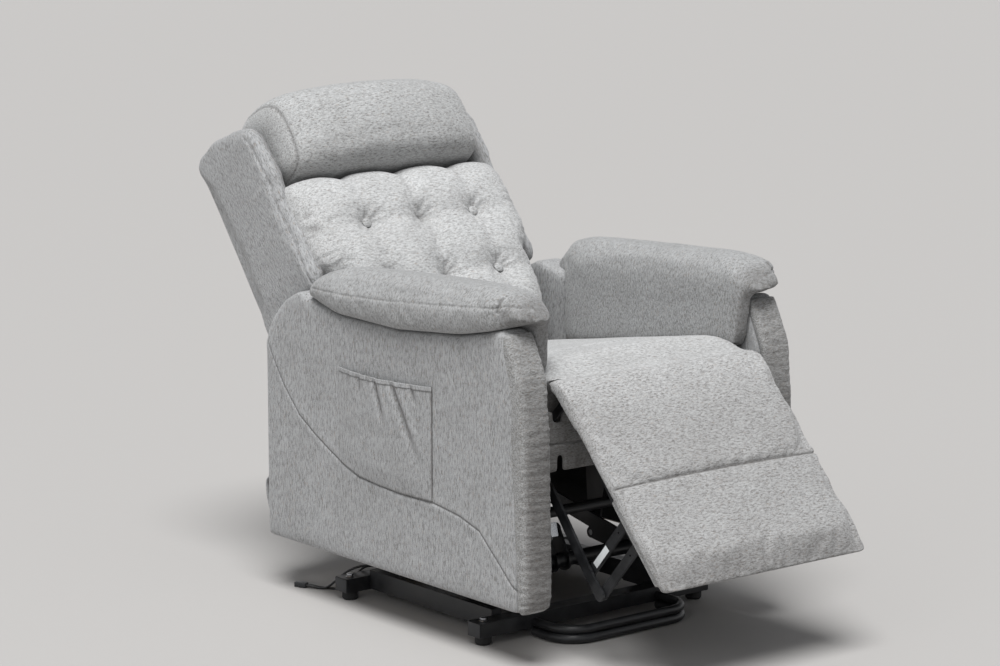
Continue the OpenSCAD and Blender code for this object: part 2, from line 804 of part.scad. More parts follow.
module back_hinge_arms() {
    color([0.09, 0.09, 0.1]) {
        pair() difference() {
            union() {
                on_back() across(link_in, link_out) {
                    translate([0, 0]) circle(d = 30);
                    polygon([[0, -14], [frame_face + upright_depth, 16], [frame_face + upright_depth, 200],
                        [frame_face, 200], [frame_face, 12], [0, 12]]);
                }
                across(link_in, link_out) strap(back_pivot, recline_pin, 24);
            }
            cross_pin(back_pivot, lift_pin_d + 2 * run_gap, link_in - 1, link_out + 1);
        }
        cross_pin(recline_pin, 16, -link_out, link_out);
    }
}

module back_uprights() {
    color([0.72, 0.58, 0.4]) on_back() pair() translate([link_in - upright_w, frame_face, 40])
        cube([upright_w, upright_depth, 520]);
}

module back_rails() {
    y = frame_face + upright_depth;
    color([0.72, 0.58, 0.4]) on_back() {
        for (z = [200, 350, 520]) translate([-wing_in, y, z]) cube([2 * wing_in, rail_depth, 40]);
        translate([-60, y + rail_depth, 530]) cube([120, shell_rear - shell_wall - y - rail_depth, 20]);
    }
}

module back_webbing() {
    color([0.15, 0.15, 0.16]) on_back() for (z = [70:80:550])
        translate([-link_in, frame_face - webbing_t, z]) cube([2 * link_in, webbing_t, 50]);
}

wing_edge = [[-64, 150], [-66, 300], [-54, 391], [-68, 469], [-58, 569], [-40, 592], [-2, 609], [82, 638],
    [150, 634], [168, 626], [shell_rear, 604], [shell_rear, 150]];

module back_shell() {
    rear_in = shell_rear - shell_wall;
    color([0.7, 0.69, 0.68]) on_back() {
        pair() across(wing_in, shell_reach) difference() {
            polygon(wing_edge);
            circle(r = wing_r, $fn = 96);
        }
        across(-wing_in, wing_in) polygon([[rear_in, 150], [shell_rear, 150], [shell_rear, 604], [160, shell_top - 8],
            [140, shell_top], [74, shell_top], [74, shell_top - 36], [rear_in, shell_top - 36]]);
    }
}

// Cushion in the back's own directions: the outline runs once round, seen from the sitter's left
module back_pad(outline, centre, reach, fractions, power, crown, tufted) {
    skin([for (t = fractions) let (f = drawn_in(abs(t), power), g = f * (1 - crown * t * t))
        [for (q = outline) [t * reach, centre.x + (q.x - centre.x) * (q.x < 0 ? g : f), centre.y + (q.y - centre.y) * f]
            + [0, tufted ? tuft_relief(t * reach, q) * f : 0, 0]]]);
}

tuft_rows = [300, 300 - tuft_pitch];
tuft_columns = [-tuft_pitch, 0, tuft_pitch];

// How far the cloth is drawn in at a place on the face of the tufted cushion
function tuft_relief(x, q) = q.x > -40 ? 0 :
    let (columns = [for (c = tuft_columns) bell(x - c, 20)],
        rows = [for (r = tuft_rows) bell(q.y - r, 18)],
        spots = [for (c = tuft_columns, r = tuft_rows) bell(norm([x - c, q.y - r]), 34)])
    max(max(spots) * tuft_depth, 8 * max(columns), 8 * max(rows));

module head_pillow() {
    outline = [[cushion_back, 450], [cushion_back, 530], [cushion_back, 606], [62, 636], [56, 652], [26, 662],
        [-20, 662], [-70, 652], [-112, 637], [-142, 616], [-160, 588], [-164, 556], [-154, 522], [-134, 490],
        [-104, 464], [-66, 448], [-20, 444], [20, 446]];
    fractions = [-1, -0.985, -0.94, -0.86, -0.72, -0.5, -0.25, 0, 0.25, 0.5, 0.72, 0.86, 0.94, 0.985, 1];
    color([0.66, 0.65, 0.64]) on_back() back_pad(outline, [20, 520], pillow_reach, fractions, 10, 0.16, false);
}

module lumbar_cushion() {
    outline = [[cushion_back, 24], [cushion_back, 120], [cushion_back, 250], [cushion_back, 380], [cushion_back, 430],
        [20, 440], [-20, 440], [-62, 434], [-90, 420], [-106, 396], [-114, 366], [-117, 340], [-118, 320],
        [-118, 300], [-118, 280], [-119, 256], [-120, 228], [-120, 200], [-120, 178], [-120, 300 - tuft_pitch],
        [-119, 136], [-117, 104], [-113, 72], [-104, 46], [-84, 27], [-50, 19], [0, 19]];
    steps = [0, 0.1, 0.22, 0.34, 0.46, tuft_pitch / lumbar_reach, 0.66, 0.78, 0.88, 0.95, 0.985, 1];
    fractions = concat([for (i = [11:-1:1]) -steps[i]], steps);
    color([0.7, 0.69, 0.68]) on_back() back_pad(outline, [40, 230], lumbar_reach, fractions, 9, 0, true);
}

module tuft_buttons() {
    color([0.66, 0.65, 0.64]) on_back() for (i = [0, 1], x = [-tuft_pitch, tuft_pitch]) {
        face = -118 - 2 * i;
        floor_y = face + tuft_depth * drawn_in(tuft_pitch / lumbar_reach, 9);
        translate([x, floor_y - soft_gap, tuft_rows[i]]) rotate([90, 0, 0]) {
            translate([0, 0, 1.8]) cylinder(d = 5, h = 6);
            translate([0, 0, 6.4]) cylinder(d = tuft_button_d, h = 3);
            translate([0, 0, 9.4]) cylinder(d1 = tuft_button_d, d2 = tuft_button_d - 8, h = 3);
        }
    }
}

recline_line = norm(recline_pin - recline_motor_pin);
recline_slot = 5.2;

module recline_motor() {
    along(recline_motor_pin, recline_pin) actuator_body(lift_pin_d + 2 * run_gap, 200, 20);
}

module recline_ram() {
    along(recline_motor_pin, recline_pin) actuator_rod(recline_line, 20, 112, 16, recline_slot);
}

// ---------- footrest ----------

leg_dir = [-cos(leg_slope), -sin(leg_slope)];
leg_up = [-sin(leg_slope), cos(leg_slope)];

// A place on the leg pad: s along it from the hinge, n below its face. Past the hinge it turns round it.
function on_leg(s, n) = s >= 0
    ? leg_pivot + s * leg_dir + (leg_nose - n) * leg_up
    : leg_pivot + (leg_nose - n) * turn(leg_up, s / leg_nose * 57.3);

module leg_pad() {
    tops = [-58, -40, -20, 0, 35, 80, 130, 175, leg_seam - 12, leg_seam, leg_seam + 12, 275, 320, 365, 405, 432];
    unders = [432, 360, 290, leg_seam, 150, 80, 20, -12, -36, -58];
    fractions = [-1, -0.985, -0.94, -0.85, -0.7, -0.45, -0.2, 0, 0.2, 0.45, 0.7, 0.85, 0.94, 0.985, 1];
    half = leg_pad_t / 2;
    color([0.66, 0.65, 0.64]) skin([for (t = fractions)
        let (f = drawn_in(abs(t), 9), swell = leg_crown * (1 - t * t))
        [for (k = [0:len(tops) + len(unders) + 1])
            let (on_top = k < len(tops),
                tip = k == len(tops) || k == len(tops) + 1,
                s = on_top ? tops[k] : tip ? leg_len : unders[k - len(tops) - 2],
                crest = on_top && s > 20 ? swell * min(1, (s - 20) / 60, (leg_len - s) / 40) : 0,
                seam = on_top && s == leg_seam ? 7 : 0,
                depth = on_top ? -crest + seam : k == len(tops) ? 9 : tip ? 19 : leg_pad_t,
                q = on_leg(s < 0 ? s : s * (0.985 + 0.015 * f), half + (depth - half) * f))
            [t * leg_reach, q.x, q.y]]]);
}

module leg_board() {
    top = on_leg(leg_seam + 6, leg_pad_t + soft_gap);
    color([0.7, 0.69, 0.68]) translate([-leg_reach + 14, top.x, top.y]) rotate([leg_slope + 180, 0, 0])
        mirror([0, 0, 1]) translate([0, 0, -leg_board_t]) cube([2 * leg_reach - 28, leg_len - leg_seam - 34, leg_board_t]);
}

module leg_arms() {
    flange = leg_pad_t + soft_gap + leg_board_t;
    color([0.09, 0.09, 0.1]) pair() across(link_in, link_out) difference() {
        union() {
            strap(leg_pivot, leg_upper_pin, 20);
            strap(leg_upper_pin, leg_lower_pin, 20);
            polygon([on_leg(leg_seam + 12, flange), on_leg(leg_seam + 130, flange), on_leg(leg_seam + 130, flange + 5),
                leg_lower_pin + 8 * leg_dir, leg_upper_pin, on_leg(leg_seam + 12, flange + 6)]);
        }
        hole(leg_pivot, foot_pin_d + 2 * run_gap);
        hole(leg_upper_pin, foot_pin_d);
        hole(leg_lower_pin, foot_pin_d);
    }
}

module leg_pins() {
    color([0.6, 0.6, 0.62]) pair() for (p = [leg_upper_pin, leg_lower_pin]) cross_pin(p, foot_pin_d, bar_in, link_out);
}

module leg_drive_links() {
    color([0.09, 0.09, 0.1]) {
        pair() {
            across(link_in, link_out) {
                strap(drive_pivot, knee_upper, 22);
                strap(knee_upper, knee_lower, 22);
            }
            cross_pin(knee_upper, foot_pin_d, bar_in, link_in);
            cross_pin(knee_lower, foot_pin_d, bar_in, link_in);
            cross_pin(drive_pivot, 14, link_out, plate_out);
        }
        cross_pin(drive_pivot, 22, -link_in, link_in);
    }
}

module leg_bar(top_pin, knee, holes) {
    color([0.09, 0.09, 0.1]) pair() across(bar_in, bar_out) difference() {
        strap(top_pin, knee, 20);
        hole(top_pin, foot_pin_d + 2 * run_gap);
        hole(knee, foot_pin_d + 2 * open_gap);
        for (h = holes) hole(top_pin + (knee - top_pin) * h, 5);
    }
}

module leg_bar_upper() {
    leg_bar(leg_upper_pin, knee_upper, [0.24]);
}

module leg_bar_lower() {
    leg_bar(leg_lower_pin, knee_lower, [0.24]);
}

base_front_tube();
base_rear_tube();
base_side_rails();
toe_loop();
toe_loop_upper();
foot_glides();
lift_base_brackets();
lift_base_pins();
lift_motor_clevis();
power_box();
power_lead_upper();
power_lead_lower();
power_lead_plug();
rear_lift_arms();
lift_torque_tube();
lift_crank();
lift_arm_pins();
front_lift_links();
lift_motor();
lift_ram();
mechanism_side_plates();
mechanism_cross_tubes();
chair_pivot_pins();
seat_side_rails();
seat_end_rails();
rear_bottom_rail();
seat_webbing();
seat_cushion();
seat_valance();
side_panel_right();
side_panel_left();
arm_board_right();
arm_board_left();
arm_front_right();
arm_front_left();
arm_pad_right();
arm_pad_left();
side_pocket();
handset();
button_raise();
button_lower();
button_recline();
button_upright();
rear_skirt();
back_hinge_arms();
back_uprights();
back_rails();
back_webbing();
back_shell();
head_pillow();
lumbar_cushion();
tuft_buttons();
recline_motor();
recline_ram();
leg_pad();
leg_board();
leg_arms();
leg_pins();
leg_drive_links();
leg_bar_upper();
leg_bar_lower();
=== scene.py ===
import logging
import math
from collections.abc import Callable, Sequence
from dataclasses import dataclass, field
from enum import Enum
from functools import cached_property

import bmesh
import bpy
from mathutils import Matrix, Vector, noise


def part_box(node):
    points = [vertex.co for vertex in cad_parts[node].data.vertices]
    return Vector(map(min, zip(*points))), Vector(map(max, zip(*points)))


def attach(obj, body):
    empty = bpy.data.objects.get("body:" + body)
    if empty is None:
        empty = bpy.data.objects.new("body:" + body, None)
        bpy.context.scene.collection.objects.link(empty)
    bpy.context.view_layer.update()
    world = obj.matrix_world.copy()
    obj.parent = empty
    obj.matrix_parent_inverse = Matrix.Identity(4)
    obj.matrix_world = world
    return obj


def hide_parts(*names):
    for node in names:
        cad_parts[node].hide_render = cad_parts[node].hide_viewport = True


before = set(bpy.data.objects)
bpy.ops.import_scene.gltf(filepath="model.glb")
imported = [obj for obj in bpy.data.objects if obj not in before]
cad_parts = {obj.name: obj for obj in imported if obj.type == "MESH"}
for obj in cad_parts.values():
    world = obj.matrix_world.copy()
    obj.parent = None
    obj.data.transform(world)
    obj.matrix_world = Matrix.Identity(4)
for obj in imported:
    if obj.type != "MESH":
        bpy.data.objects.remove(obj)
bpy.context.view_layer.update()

MM = 0.001
LOG = logging.getLogger("lift_recliner")

CLOTH_FRAMES = 14

Tree, Node, Socket = bpy.types.NodeTree, bpy.types.Node, bpy.types.NodeSocket
Piece = bpy.types.Object
Point = tuple[float, float]
Measure = Callable[[Vector], float]
Surface = Callable[[float, float], Vector]
Relief = Callable[[Vector, Vector], tuple[Vector, float]]


class YarnRun(Enum):
    """Which way the chenille yarns lie on a cover."""

    ACROSS = (0.38, 1.0, 1.0)
    UPRIGHT = (1.0, 1.0, 0.28)
    ROUND_THE_ARM = (0.5, 1.0, 0.5)


# ---------- colours and nodes ----------


def linear(code: str) -> tuple[float, float, float, float]:
    """Turns an sRGB hex value to linear light.

    Args:
        code: Six hex digits, such as "8C8B89".

    Returns:
        Red, green, blue and an alpha of 1.
    """
    parts = [int(code[i:i + 2], 16) / 255 for i in (0, 2, 4)]
    light = [c / 12.92 if c <= 0.04045 else ((c + 0.055) / 1.055) ** 2.4 for c in parts]
    return light[0], light[1], light[2], 1.0


def add_node(tree: Tree, kind: str, settings: dict | None = None, links: dict | None = None) -> Node:
    """Adds one node with its settings and its incoming links.

    Args:
        tree: The node tree that gets the node.
        kind: The node's type.
        settings: Properties, or input sockets by name or index, with their values.
        links: Input sockets by name or index, with the output socket that feeds each.

    Returns:
        The new node.
    """
    node = tree.nodes.new(kind)
    for name, value in (settings or {}).items():
        if isinstance(name, int) or name in node.inputs:
            node.inputs[name].default_value = value
        else:
            setattr(node, name, value)
    for name, source in (links or {}).items():
        tree.links.new(source, node.inputs[name])
    return node


def noise_level(tree: Tree, place: Socket, scale: float, detail: float, more: dict | None = None) -> Socket:
    """Adds a noise texture.

    Args:
        tree: The node tree.
        place: Where the noise is read.
        scale: Its waves to the metre.
        detail: Its octaves.
        more: Further inputs by name.

    Returns:
        The noise's level, 0 to 1.
    """
    settings = {"Scale": scale, "Detail": detail, **(more or {})}
    return add_node(tree, "ShaderNodeTexNoise", settings, {"Vector": place}).outputs["Fac"]


def ramped(tree: Tree, level: Socket, stops: Sequence[tuple[float, str]]) -> Socket:
    """Turns a level to a colour.

    Args:
        tree: The node tree.
        level: The level, 0 to 1.
        stops: Place and hex colour of each stop, in order.

    Returns:
        The colour.
    """
    node = add_node(tree, "ShaderNodeValToRGB", links={"Fac": level})
    elements = node.color_ramp.elements
    while len(elements) < len(stops):
        elements.new(0.5)
    for element, (place, code) in zip(elements, stops):
        element.position = place
        element.color = linear(code)
    return node.outputs["Color"]


def paint(tree: Tree, shader: Node, level: Socket, *stops: tuple[float, str]) -> None:
    """Colours a shader by a level; each stop is a place and a hex colour."""
    tree.links.new(ramped(tree, level, stops), shader.inputs["Base Color"])


def emboss(tree: Tree, shader: Node, height: Socket, strength: float, depth_mm: float) -> None:
    """Bumps a shader's surface.

    Args:
        tree: The node tree.
        shader: The shader.
        height: What the bump follows.
        strength: Its strength.
        depth_mm: Its depth in millimetres.
    """
    bump = add_node(tree, "ShaderNodeBump", {"Strength": strength, "Distance": depth_mm * MM},
                    {"Height": height})
    tree.links.new(bump.outputs[0], shader.inputs["Normal"])


def spread_level(tree: Tree, level: Socket, settings: dict) -> Socket:
    """Maps a level from one range to another; the settings are the Map Range node's inputs by name."""
    return add_node(tree, "ShaderNodeMapRange", settings, {"Value": level}).outputs[0]


def vary_gloss(tree: Tree, shader: Node, level: Socket, settings: dict) -> None:
    """Lets a shader's roughness follow a level, as spread_level maps it."""
    tree.links.new(spread_level(tree, level, settings), shader.inputs["Roughness"])


# ---------- finishes ----------


@dataclass(frozen=True)
class Finish:
    """A surface finish that makes its material once and then hands the same one out."""

    name: str

    def material(self) -> bpy.types.Material:
        """Returns the finish's material, made on first use."""
        found = bpy.data.materials.get(self.name)
        if found:
            return found
        made = bpy.data.materials.new(self.name)
        made.use_nodes = True
        tree = made.node_tree
        tree.nodes.clear()
        shader = add_node(tree, "ShaderNodeBsdfPrincipled")
        add_node(tree, "ShaderNodeOutputMaterial", links={"Surface": shader.outputs["BSDF"]})
        place = add_node(tree, "ShaderNodeTexCoord").outputs["Object"]
        self.dress(tree, shader, place)
        return made

    def dress(self, tree: Tree, shader: Node, place: Socket) -> None:
        """Fills the shader's sockets; each finish has its own."""
        raise NotImplementedError


@dataclass(frozen=True)
class Chenille(Finish):
    """Woven polyester chenille: short cut pile round each yarn.

    The pile catches light as soft pale streaks a few millimetres long with darker
    gaps and a few brown ends, and has a weak sheen at grazing angles.
    """

    run: YarnRun
    lean: float = 0.0             # degrees that the cover leans back
    pale: str = "C0C1C1"
    mid: str = "A9AAAA"
    deep: str = "858482"
    brown: str = "988777"
    # Colour of the painted shade: creases, seams, tufts and faces turned from the light are darkened towards it.
    shade: str = "4A4643"
    streak_mm: float = 3.1        # yarn pitch, drawn about twice as coarse so that it shows
    tuft_mm: float = 2.1

    def dress(self, tree: Tree, shader: Node, place: Socket) -> None:
        """Builds streaked pile, brown ends and brushed patches, and mixes in the shade colour as painted shade,
        as much as each point's attribute gives.
        """
        size = tuple(self.streak_mm * MM / k for k in self.run.value)
        turn = (-math.radians(self.lean), 0.0, 0.0)
        lay = {"vector_type": "TEXTURE", "Rotation": turn, "Scale": size}
        stretched = add_node(tree, "ShaderNodeMapping", lay, {"Vector": place})
        streak = noise_level(tree, stretched.outputs[0], 1.0, 3.0, {"Roughness": 0.62, "Distortion": 0.35})
        tuft = noise_level(tree, place, 1 / (self.tuft_mm * MM), 2.0, {"Roughness": 0.7})
        patch = noise_level(tree, place, 11.0, 2.0)
        blend = add_node(tree, "ShaderNodeMath", {"operation": "MULTIPLY_ADD", 1: 0.42}, {0: tuft, 2: streak})
        level = spread_level(tree, blend.outputs[0], {"From Min": 0.51, "From Max": 0.91})
        pile = ramped(tree, level, [(0.0, self.deep), (0.42, self.mid), (0.85, self.pale)])
        spread = add_node(tree, "ShaderNodeMapping", {**lay, "Location": (3.1, 1.7, 0.4)}, {"Vector": place})
        ends = noise_level(tree, spread.outputs[0], 1.0, 2.0, {"Roughness": 0.6})
        rare = spread_level(tree, ends, {"From Min": 0.60, "From Max": 0.72, "To Max": 0.42})
        brushed = spread_level(tree, patch, {"From Min": 0.3, "From Max": 0.7, "To Max": 0.16})
        # Painted shade: a point attribute set while sculpting darkens creases, seams and shaded faces towards the
        # shade colour.
        painted_shade = add_node(tree, "ShaderNodeAttribute", {"attribute_name": "painted_shade"})
        for share, code in ((rare, self.brown), (brushed, self.deep), (painted_shade.outputs["Fac"], self.shade)):
            mix = add_node(tree, "ShaderNodeMix", {"data_type": "RGBA", 7: linear(code)}, {0: share, 6: pile})
            pile = mix.outputs[2]
        tree.links.new(pile, shader.inputs["Base Color"])
        emboss(tree, shader, blend.outputs[0], 0.75, 1.6)
        shader.inputs["Roughness"].default_value = 0.92
        shader.inputs["Specular IOR Level"].default_value = 0.2
        shader.inputs["Sheen Weight"].default_value = 0.22
        shader.inputs["Sheen Roughness"].default_value = 0.45


@dataclass(frozen=True)
class PaintedSteel(Finish):
    """Powder-coated mild steel: a black film with a faint orange peel and dusty dull patches."""

    colour: str = "17181A"
    dusty: str = "2A2B2D"
    roughness: float = 0.38
    metallic: float = 0.0
    peel_mm: float = 2.4

    def dress(self, tree: Tree, shader: Node, place: Socket) -> None:
        """Builds the film's peel, its dust and its uneven gloss."""
        dust = noise_level(tree, place, 26.0, 5.0, {"Roughness": 0.6})
        paint(tree, shader, dust, (0.42, self.colour), (0.72, self.dusty))
        vary_gloss(tree, shader, dust, {"From Min": 0.3, "From Max": 0.75, "To Min": self.roughness - 0.08,
                                        "To Max": self.roughness + 0.2})
        emboss(tree, shader, noise_level(tree, place, 1 / (self.peel_mm * MM), 1.0), 0.25, 0.15)
        shader.inputs["Metallic"].default_value = self.metallic


@dataclass(frozen=True)
class BareSteel(Finish):
    """Zinc-plated or ground steel: grey metal with fine tool lines and slightly cloudy plating."""

    colour: str = "B9BABC"
    cloudy: str = "94969A"
    roughness: float = 0.32
    line_mm: float = 0.8

    def dress(self, tree: Tree, shader: Node, place: Socket) -> None:
        """Builds the cloudy plating and the tool lines."""
        cloud = noise_level(tree, place, 60.0, 4.0)
        paint(tree, shader, cloud, (0.38, self.cloudy), (0.62, self.colour))
        vary_gloss(tree, shader, cloud, {"To Min": self.roughness - 0.07, "To Max": self.roughness + 0.13})
        across = 1 / (self.line_mm * MM)
        drawn = add_node(tree, "ShaderNodeMapping", {"Scale": (60.0, across, across)}, {"Vector": place})
        emboss(tree, shader, noise_level(tree, drawn.outputs[0], 1.0, 2.0), 0.2, 0.1)
        shader.inputs["Metallic"].default_value = 1.0


@dataclass(frozen=True)
class MouldedPlastic(Finish):
    """Injection-moulded ABS or nylon: an even colour with a spark-eroded grain that breaks the gloss."""

    colour: str = "1B1C1E"
    rubbed: str = "2C2D30"
    roughness: float = 0.45
    grain_mm: float = 0.9
    depth_mm: float = 0.12

    def dress(self, tree: Tree, shader: Node, place: Socket) -> None:
        """Builds the mould grain and the rubbed patches."""
        rub = noise_level(tree, place, 34.0, 3.0)
        paint(tree, shader, rub, (0.4, self.colour), (0.75, self.rubbed))
        vary_gloss(tree, shader, rub, {"To Min": self.roughness - 0.08, "To Max": self.roughness + 0.12})
        grain = add_node(tree, "ShaderNodeTexVoronoi", {"Scale": 1 / (self.grain_mm * MM)}, {"Vector": place})
        emboss(tree, shader, grain.outputs["Distance"], 0.35, self.depth_mm)


@dataclass(frozen=True)
class SawnTimber(Finish):
    """Sawn pine and plywood of an upholstery frame: honey wood with growth lines along the length."""

    along: tuple[float, float, float] = (0.06, 1.0, 1.0)
    early: str = "D9BC8C"
    late: str = "B38B58"
    ring_mm: float = 5.0

    def dress(self, tree: Tree, shader: Node, place: Socket) -> None:
        """Builds growth lines that run along the piece, and the saw's fuzz."""
        scale = tuple(k / (self.ring_mm * MM) for k in self.along)
        drawn = add_node(tree, "ShaderNodeMapping", {"Scale": scale}, {"Vector": place})
        ring = noise_level(tree, drawn.outputs[0], 1.0, 4.0, {"Distortion": 0.8})
        paint(tree, shader, ring, (0.36, self.late), (0.6, self.early))
        emboss(tree, shader, ring, 0.3, 0.3)
        shader.inputs["Roughness"].default_value = 0.72


@dataclass(frozen=True)
class WovenWebbing(Finish):
    """Elastic polypropylene webbing: matt black ribs about 2 mm apart, crossed by finer weft."""

    colour: str = "1D1E20"
    rib: str = "3A3B3E"
    rib_mm: float = 2.2

    def dress(self, tree: Tree, shader: Node, place: Socket) -> None:
        """Builds crossed ribs."""
        settings = {"wave_type": "BANDS", "bands_direction": "DIAGONAL", "Scale": 0.3 / (self.rib_mm * MM),
                    "Distortion": 1.2, "Detail": 1.0}
        wales = add_node(tree, "ShaderNodeTexWave", settings, {"Vector": place}).outputs["Fac"]
        paint(tree, shader, wales, (0.2, self.colour), (0.9, self.rib))
        emboss(tree, shader, wales, 0.5, 0.4)
        shader.inputs["Roughness"].default_value = 0.85


# One chenille covers the whole chair. The leg pad, side, arm, facing, pillow and back-shell copies have darker
# tones than the seat: painted shade for how light falls on each part, darkest on the facing, which the valance
# shares.
CHENILLE_SEAT = Chenille("chenille_across", YarnRun.ACROSS, pale="C8C9C9", mid="B1B2B2", deep="8B8988")
CHENILLE_LEG = Chenille("chenille_leg_pad", YarnRun.ACROSS, pale="BCBDBD", mid="A3A3A3", deep="757371")
CHENILLE_SIDE = Chenille("chenille_upright", YarnRun.UPRIGHT, pale="ADAEAF", mid="999A9B", deep="747371")
CHENILLE_ARM = Chenille("chenille_round_the_arm", YarnRun.ROUND_THE_ARM, pale="ABACAD", mid="969797",
                        deep="71706E")
CHENILLE_FACING = Chenille("chenille_facing", YarnRun.ACROSS, pale="A4A5A5", mid="8D8D8C", deep="686664")
CHENILLE_BACK = Chenille("chenille_pillow", YarnRun.ACROSS, pale="BABBBB", mid="A3A4A4", deep="7A7876")
CHENILLE_SHELL = Chenille("chenille_back_shell", YarnRun.UPRIGHT, lean=38.0, pale="ADAEAF", mid="999A9B",
                          deep="747371")
PAINTED_STEEL = PaintedSteel("powder_coated_steel")
ZINC_STEEL = BareSteel("zinc_plated_steel")
GROUND_STEEL = BareSteel("ground_chromed_steel", colour="D2D4D6", cloudy="BFC1C4", roughness=0.16)
MOTOR_NYLON = MouldedPlastic("moulded_nylon_black", roughness=0.5, grain_mm=1.2)
HANDSET_ABS = MouldedPlastic("moulded_abs_graphite", colour="2A2B2E", rubbed="34363A", roughness=0.42)
BUTTON_ABS = MouldedPlastic("moulded_abs_pale_grey", colour="B6B8BA", rubbed="C3C4C6", roughness=0.38,
                            grain_mm=0.5, depth_mm=0.05)
BLACK_RUBBER = MouldedPlastic("moulded_rubber", colour="141414", rubbed="232323", roughness=0.78,
                              grain_mm=1.5)
LEAD_SHEATH = MouldedPlastic("extruded_pvc_sheath", colour="101011", rubbed="1C1C1D", roughness=0.4,
                             grain_mm=0.7, depth_mm=0.04)
VINYL_STRIP = MouldedPlastic("blank_vinyl_strip", colour="DCE0E1", rubbed="CDD2D4", roughness=0.5,
                             grain_mm=0.8, depth_mm=0.03)
TIMBER_ACROSS = SawnTimber("sawn_pine_across")
TIMBER_UPRIGHT = SawnTimber("sawn_pine_upright", along=(1.0, 1.0, 0.06))
PLYWOOD_SIDE = SawnTimber("plywood_side", along=(1.0, 0.05, 1.0), ring_mm=7.0)
WEBBING = WovenWebbing("elastic_webbing")
# Painted shade: a black sheet for the side panels' inner faces below the seat, where they lie in shadow.
PAINTED_SHADE_LINING = WovenWebbing("painted_shade_black_sheet", colour="0E0E0F", rib="151516", rib_mm=1.2)


# ---------- shaping ----------


def shade_smooth(mesh: bpy.types.Mesh) -> None:
    """Shades all of a mesh smooth."""
    mesh.polygons.foreach_set("use_smooth", [True] * len(mesh.polygons))


def stand_on(bm: bmesh.types.BMesh, seat: Vector, out: Vector) -> None:
    """Turns a form from the third axis to a direction and moves it to its seat, in millimetres."""
    turn = out.normalized().to_track_quat("Z", "Y").to_matrix().to_4x4()
    bmesh.ops.transform(bm, matrix=Matrix.Translation(seat * MM) @ turn, verts=bm.verts)


def as_piece(bm: bmesh.types.BMesh, name: str, sharp: float = 42.0) -> Piece:
    """Ends a bmesh as a new object at the origin.

    Args:
        bm: The finished bmesh, in metres; it is freed.
        name: The piece's name.
        sharp: Angle in degrees past which an edge is shaded sharp.

    Returns:
        The new object, linked to the scene.
    """
    mesh = bpy.data.meshes.new(name)
    bm.to_mesh(mesh)
    bm.free()
    shade_smooth(mesh)
    mesh.set_sharp_from_angle(angle=math.radians(sharp))
    piece = bpy.data.objects.new(name, mesh)
    bpy.context.scene.collection.objects.link(piece)
    return piece


def smooth_line(points: Sequence[Sequence[float]], closed: bool = False) -> Callable[[float], tuple]:
    """Makes a smooth line through points.

    Args:
        points: The points, of any one number of coordinates.
        closed: Whether the line runs on from the last point to the first.

    Returns:
        A function from a share of the line, 0 to 1, to a point.
    """
    count = len(points)
    spans = count if closed else count - 1

    def at(share: float) -> tuple:
        """Point at a share of the line."""
        place = min(max(share, 0.0), 1.0) * spans
        k = min(int(place), spans - 1)
        t = place - k
        picks = [(k + j) % count if closed else min(max(k + j, 0), count - 1) for j in (-1, 0, 1, 2)]
        return tuple(0.5 * (2 * q + (r - p) * t + (2 * p - 5 * q + 4 * r - s) * t * t
                            + (3 * q - p - 3 * r + s) * t ** 3)
                     for p, q, r, s in zip(*(points[i] for i in picks)))

    return at


def value_at(x: float, table: Sequence[Point]) -> float:
    """Straight-line value of a table of (x, value) pairs at x."""
    if x <= table[0][0]:
        return table[0][1]
    for (x0, v0), (x1, v1) in zip(table, table[1:]):
        if x <= x1:
            return v0 + (v1 - v0) * (x - x0) / (x1 - x0)
    return table[-1][1]


def ease(x: float, start: float, end: float) -> float:
    """Smooth step from 0 at start to 1 at end."""
    t = min(max((x - start) / (end - start), 0.0), 1.0)
    return t * t * (3 - 2 * t)


def bell(x: float, width: float, power: float = 2.0) -> float:
    """Bell curve: 1 at 0 and about a third at a width."""
    return math.exp(-(x / width) ** power)


def arc(centre: Point, radius: float, degrees: Sequence[float]) -> list[Point]:
    """Points round a centre, at angles from the first axis."""
    return [(centre[0] + radius * math.cos(math.radians(a)), centre[1] + radius * math.sin(math.radians(a)))
            for a in degrees]


def drawn_in(share: float, power: float) -> float:
    """Share of full size that a cushion's side keeps at a share of its half width."""
    return (1 - min(abs(share), 1.0) ** power) ** (1 / power)


def grid_skin(name: str, steps: tuple[int, int], surface: Surface, seal: bool = True) -> Piece:
    """Wraps a grid onto a surface.

    Args:
        name: The piece's name.
        steps: Faces along the surface's two directions.
        surface: Gives the place in millimetres for two shares from 0 to 1.
        seal: Whether the open ends are filled.

    Returns:
        The new piece.
    """
    bm = bmesh.new()
    bmesh.ops.create_grid(bm, x_segments=steps[0], y_segments=steps[1], size=0.5)
    for vert in bm.verts:
        vert.co = surface(vert.co.x + 0.5, vert.co.y + 0.5) * MM
    bmesh.ops.remove_doubles(bm, verts=bm.verts, dist=0.02 * MM)
    if seal:
        bmesh.ops.holes_fill(bm, edges=[e for e in bm.edges if e.is_boundary], sides=0)
        bmesh.ops.recalc_face_normals(bm, faces=bm.faces)
    return as_piece(bm, name)


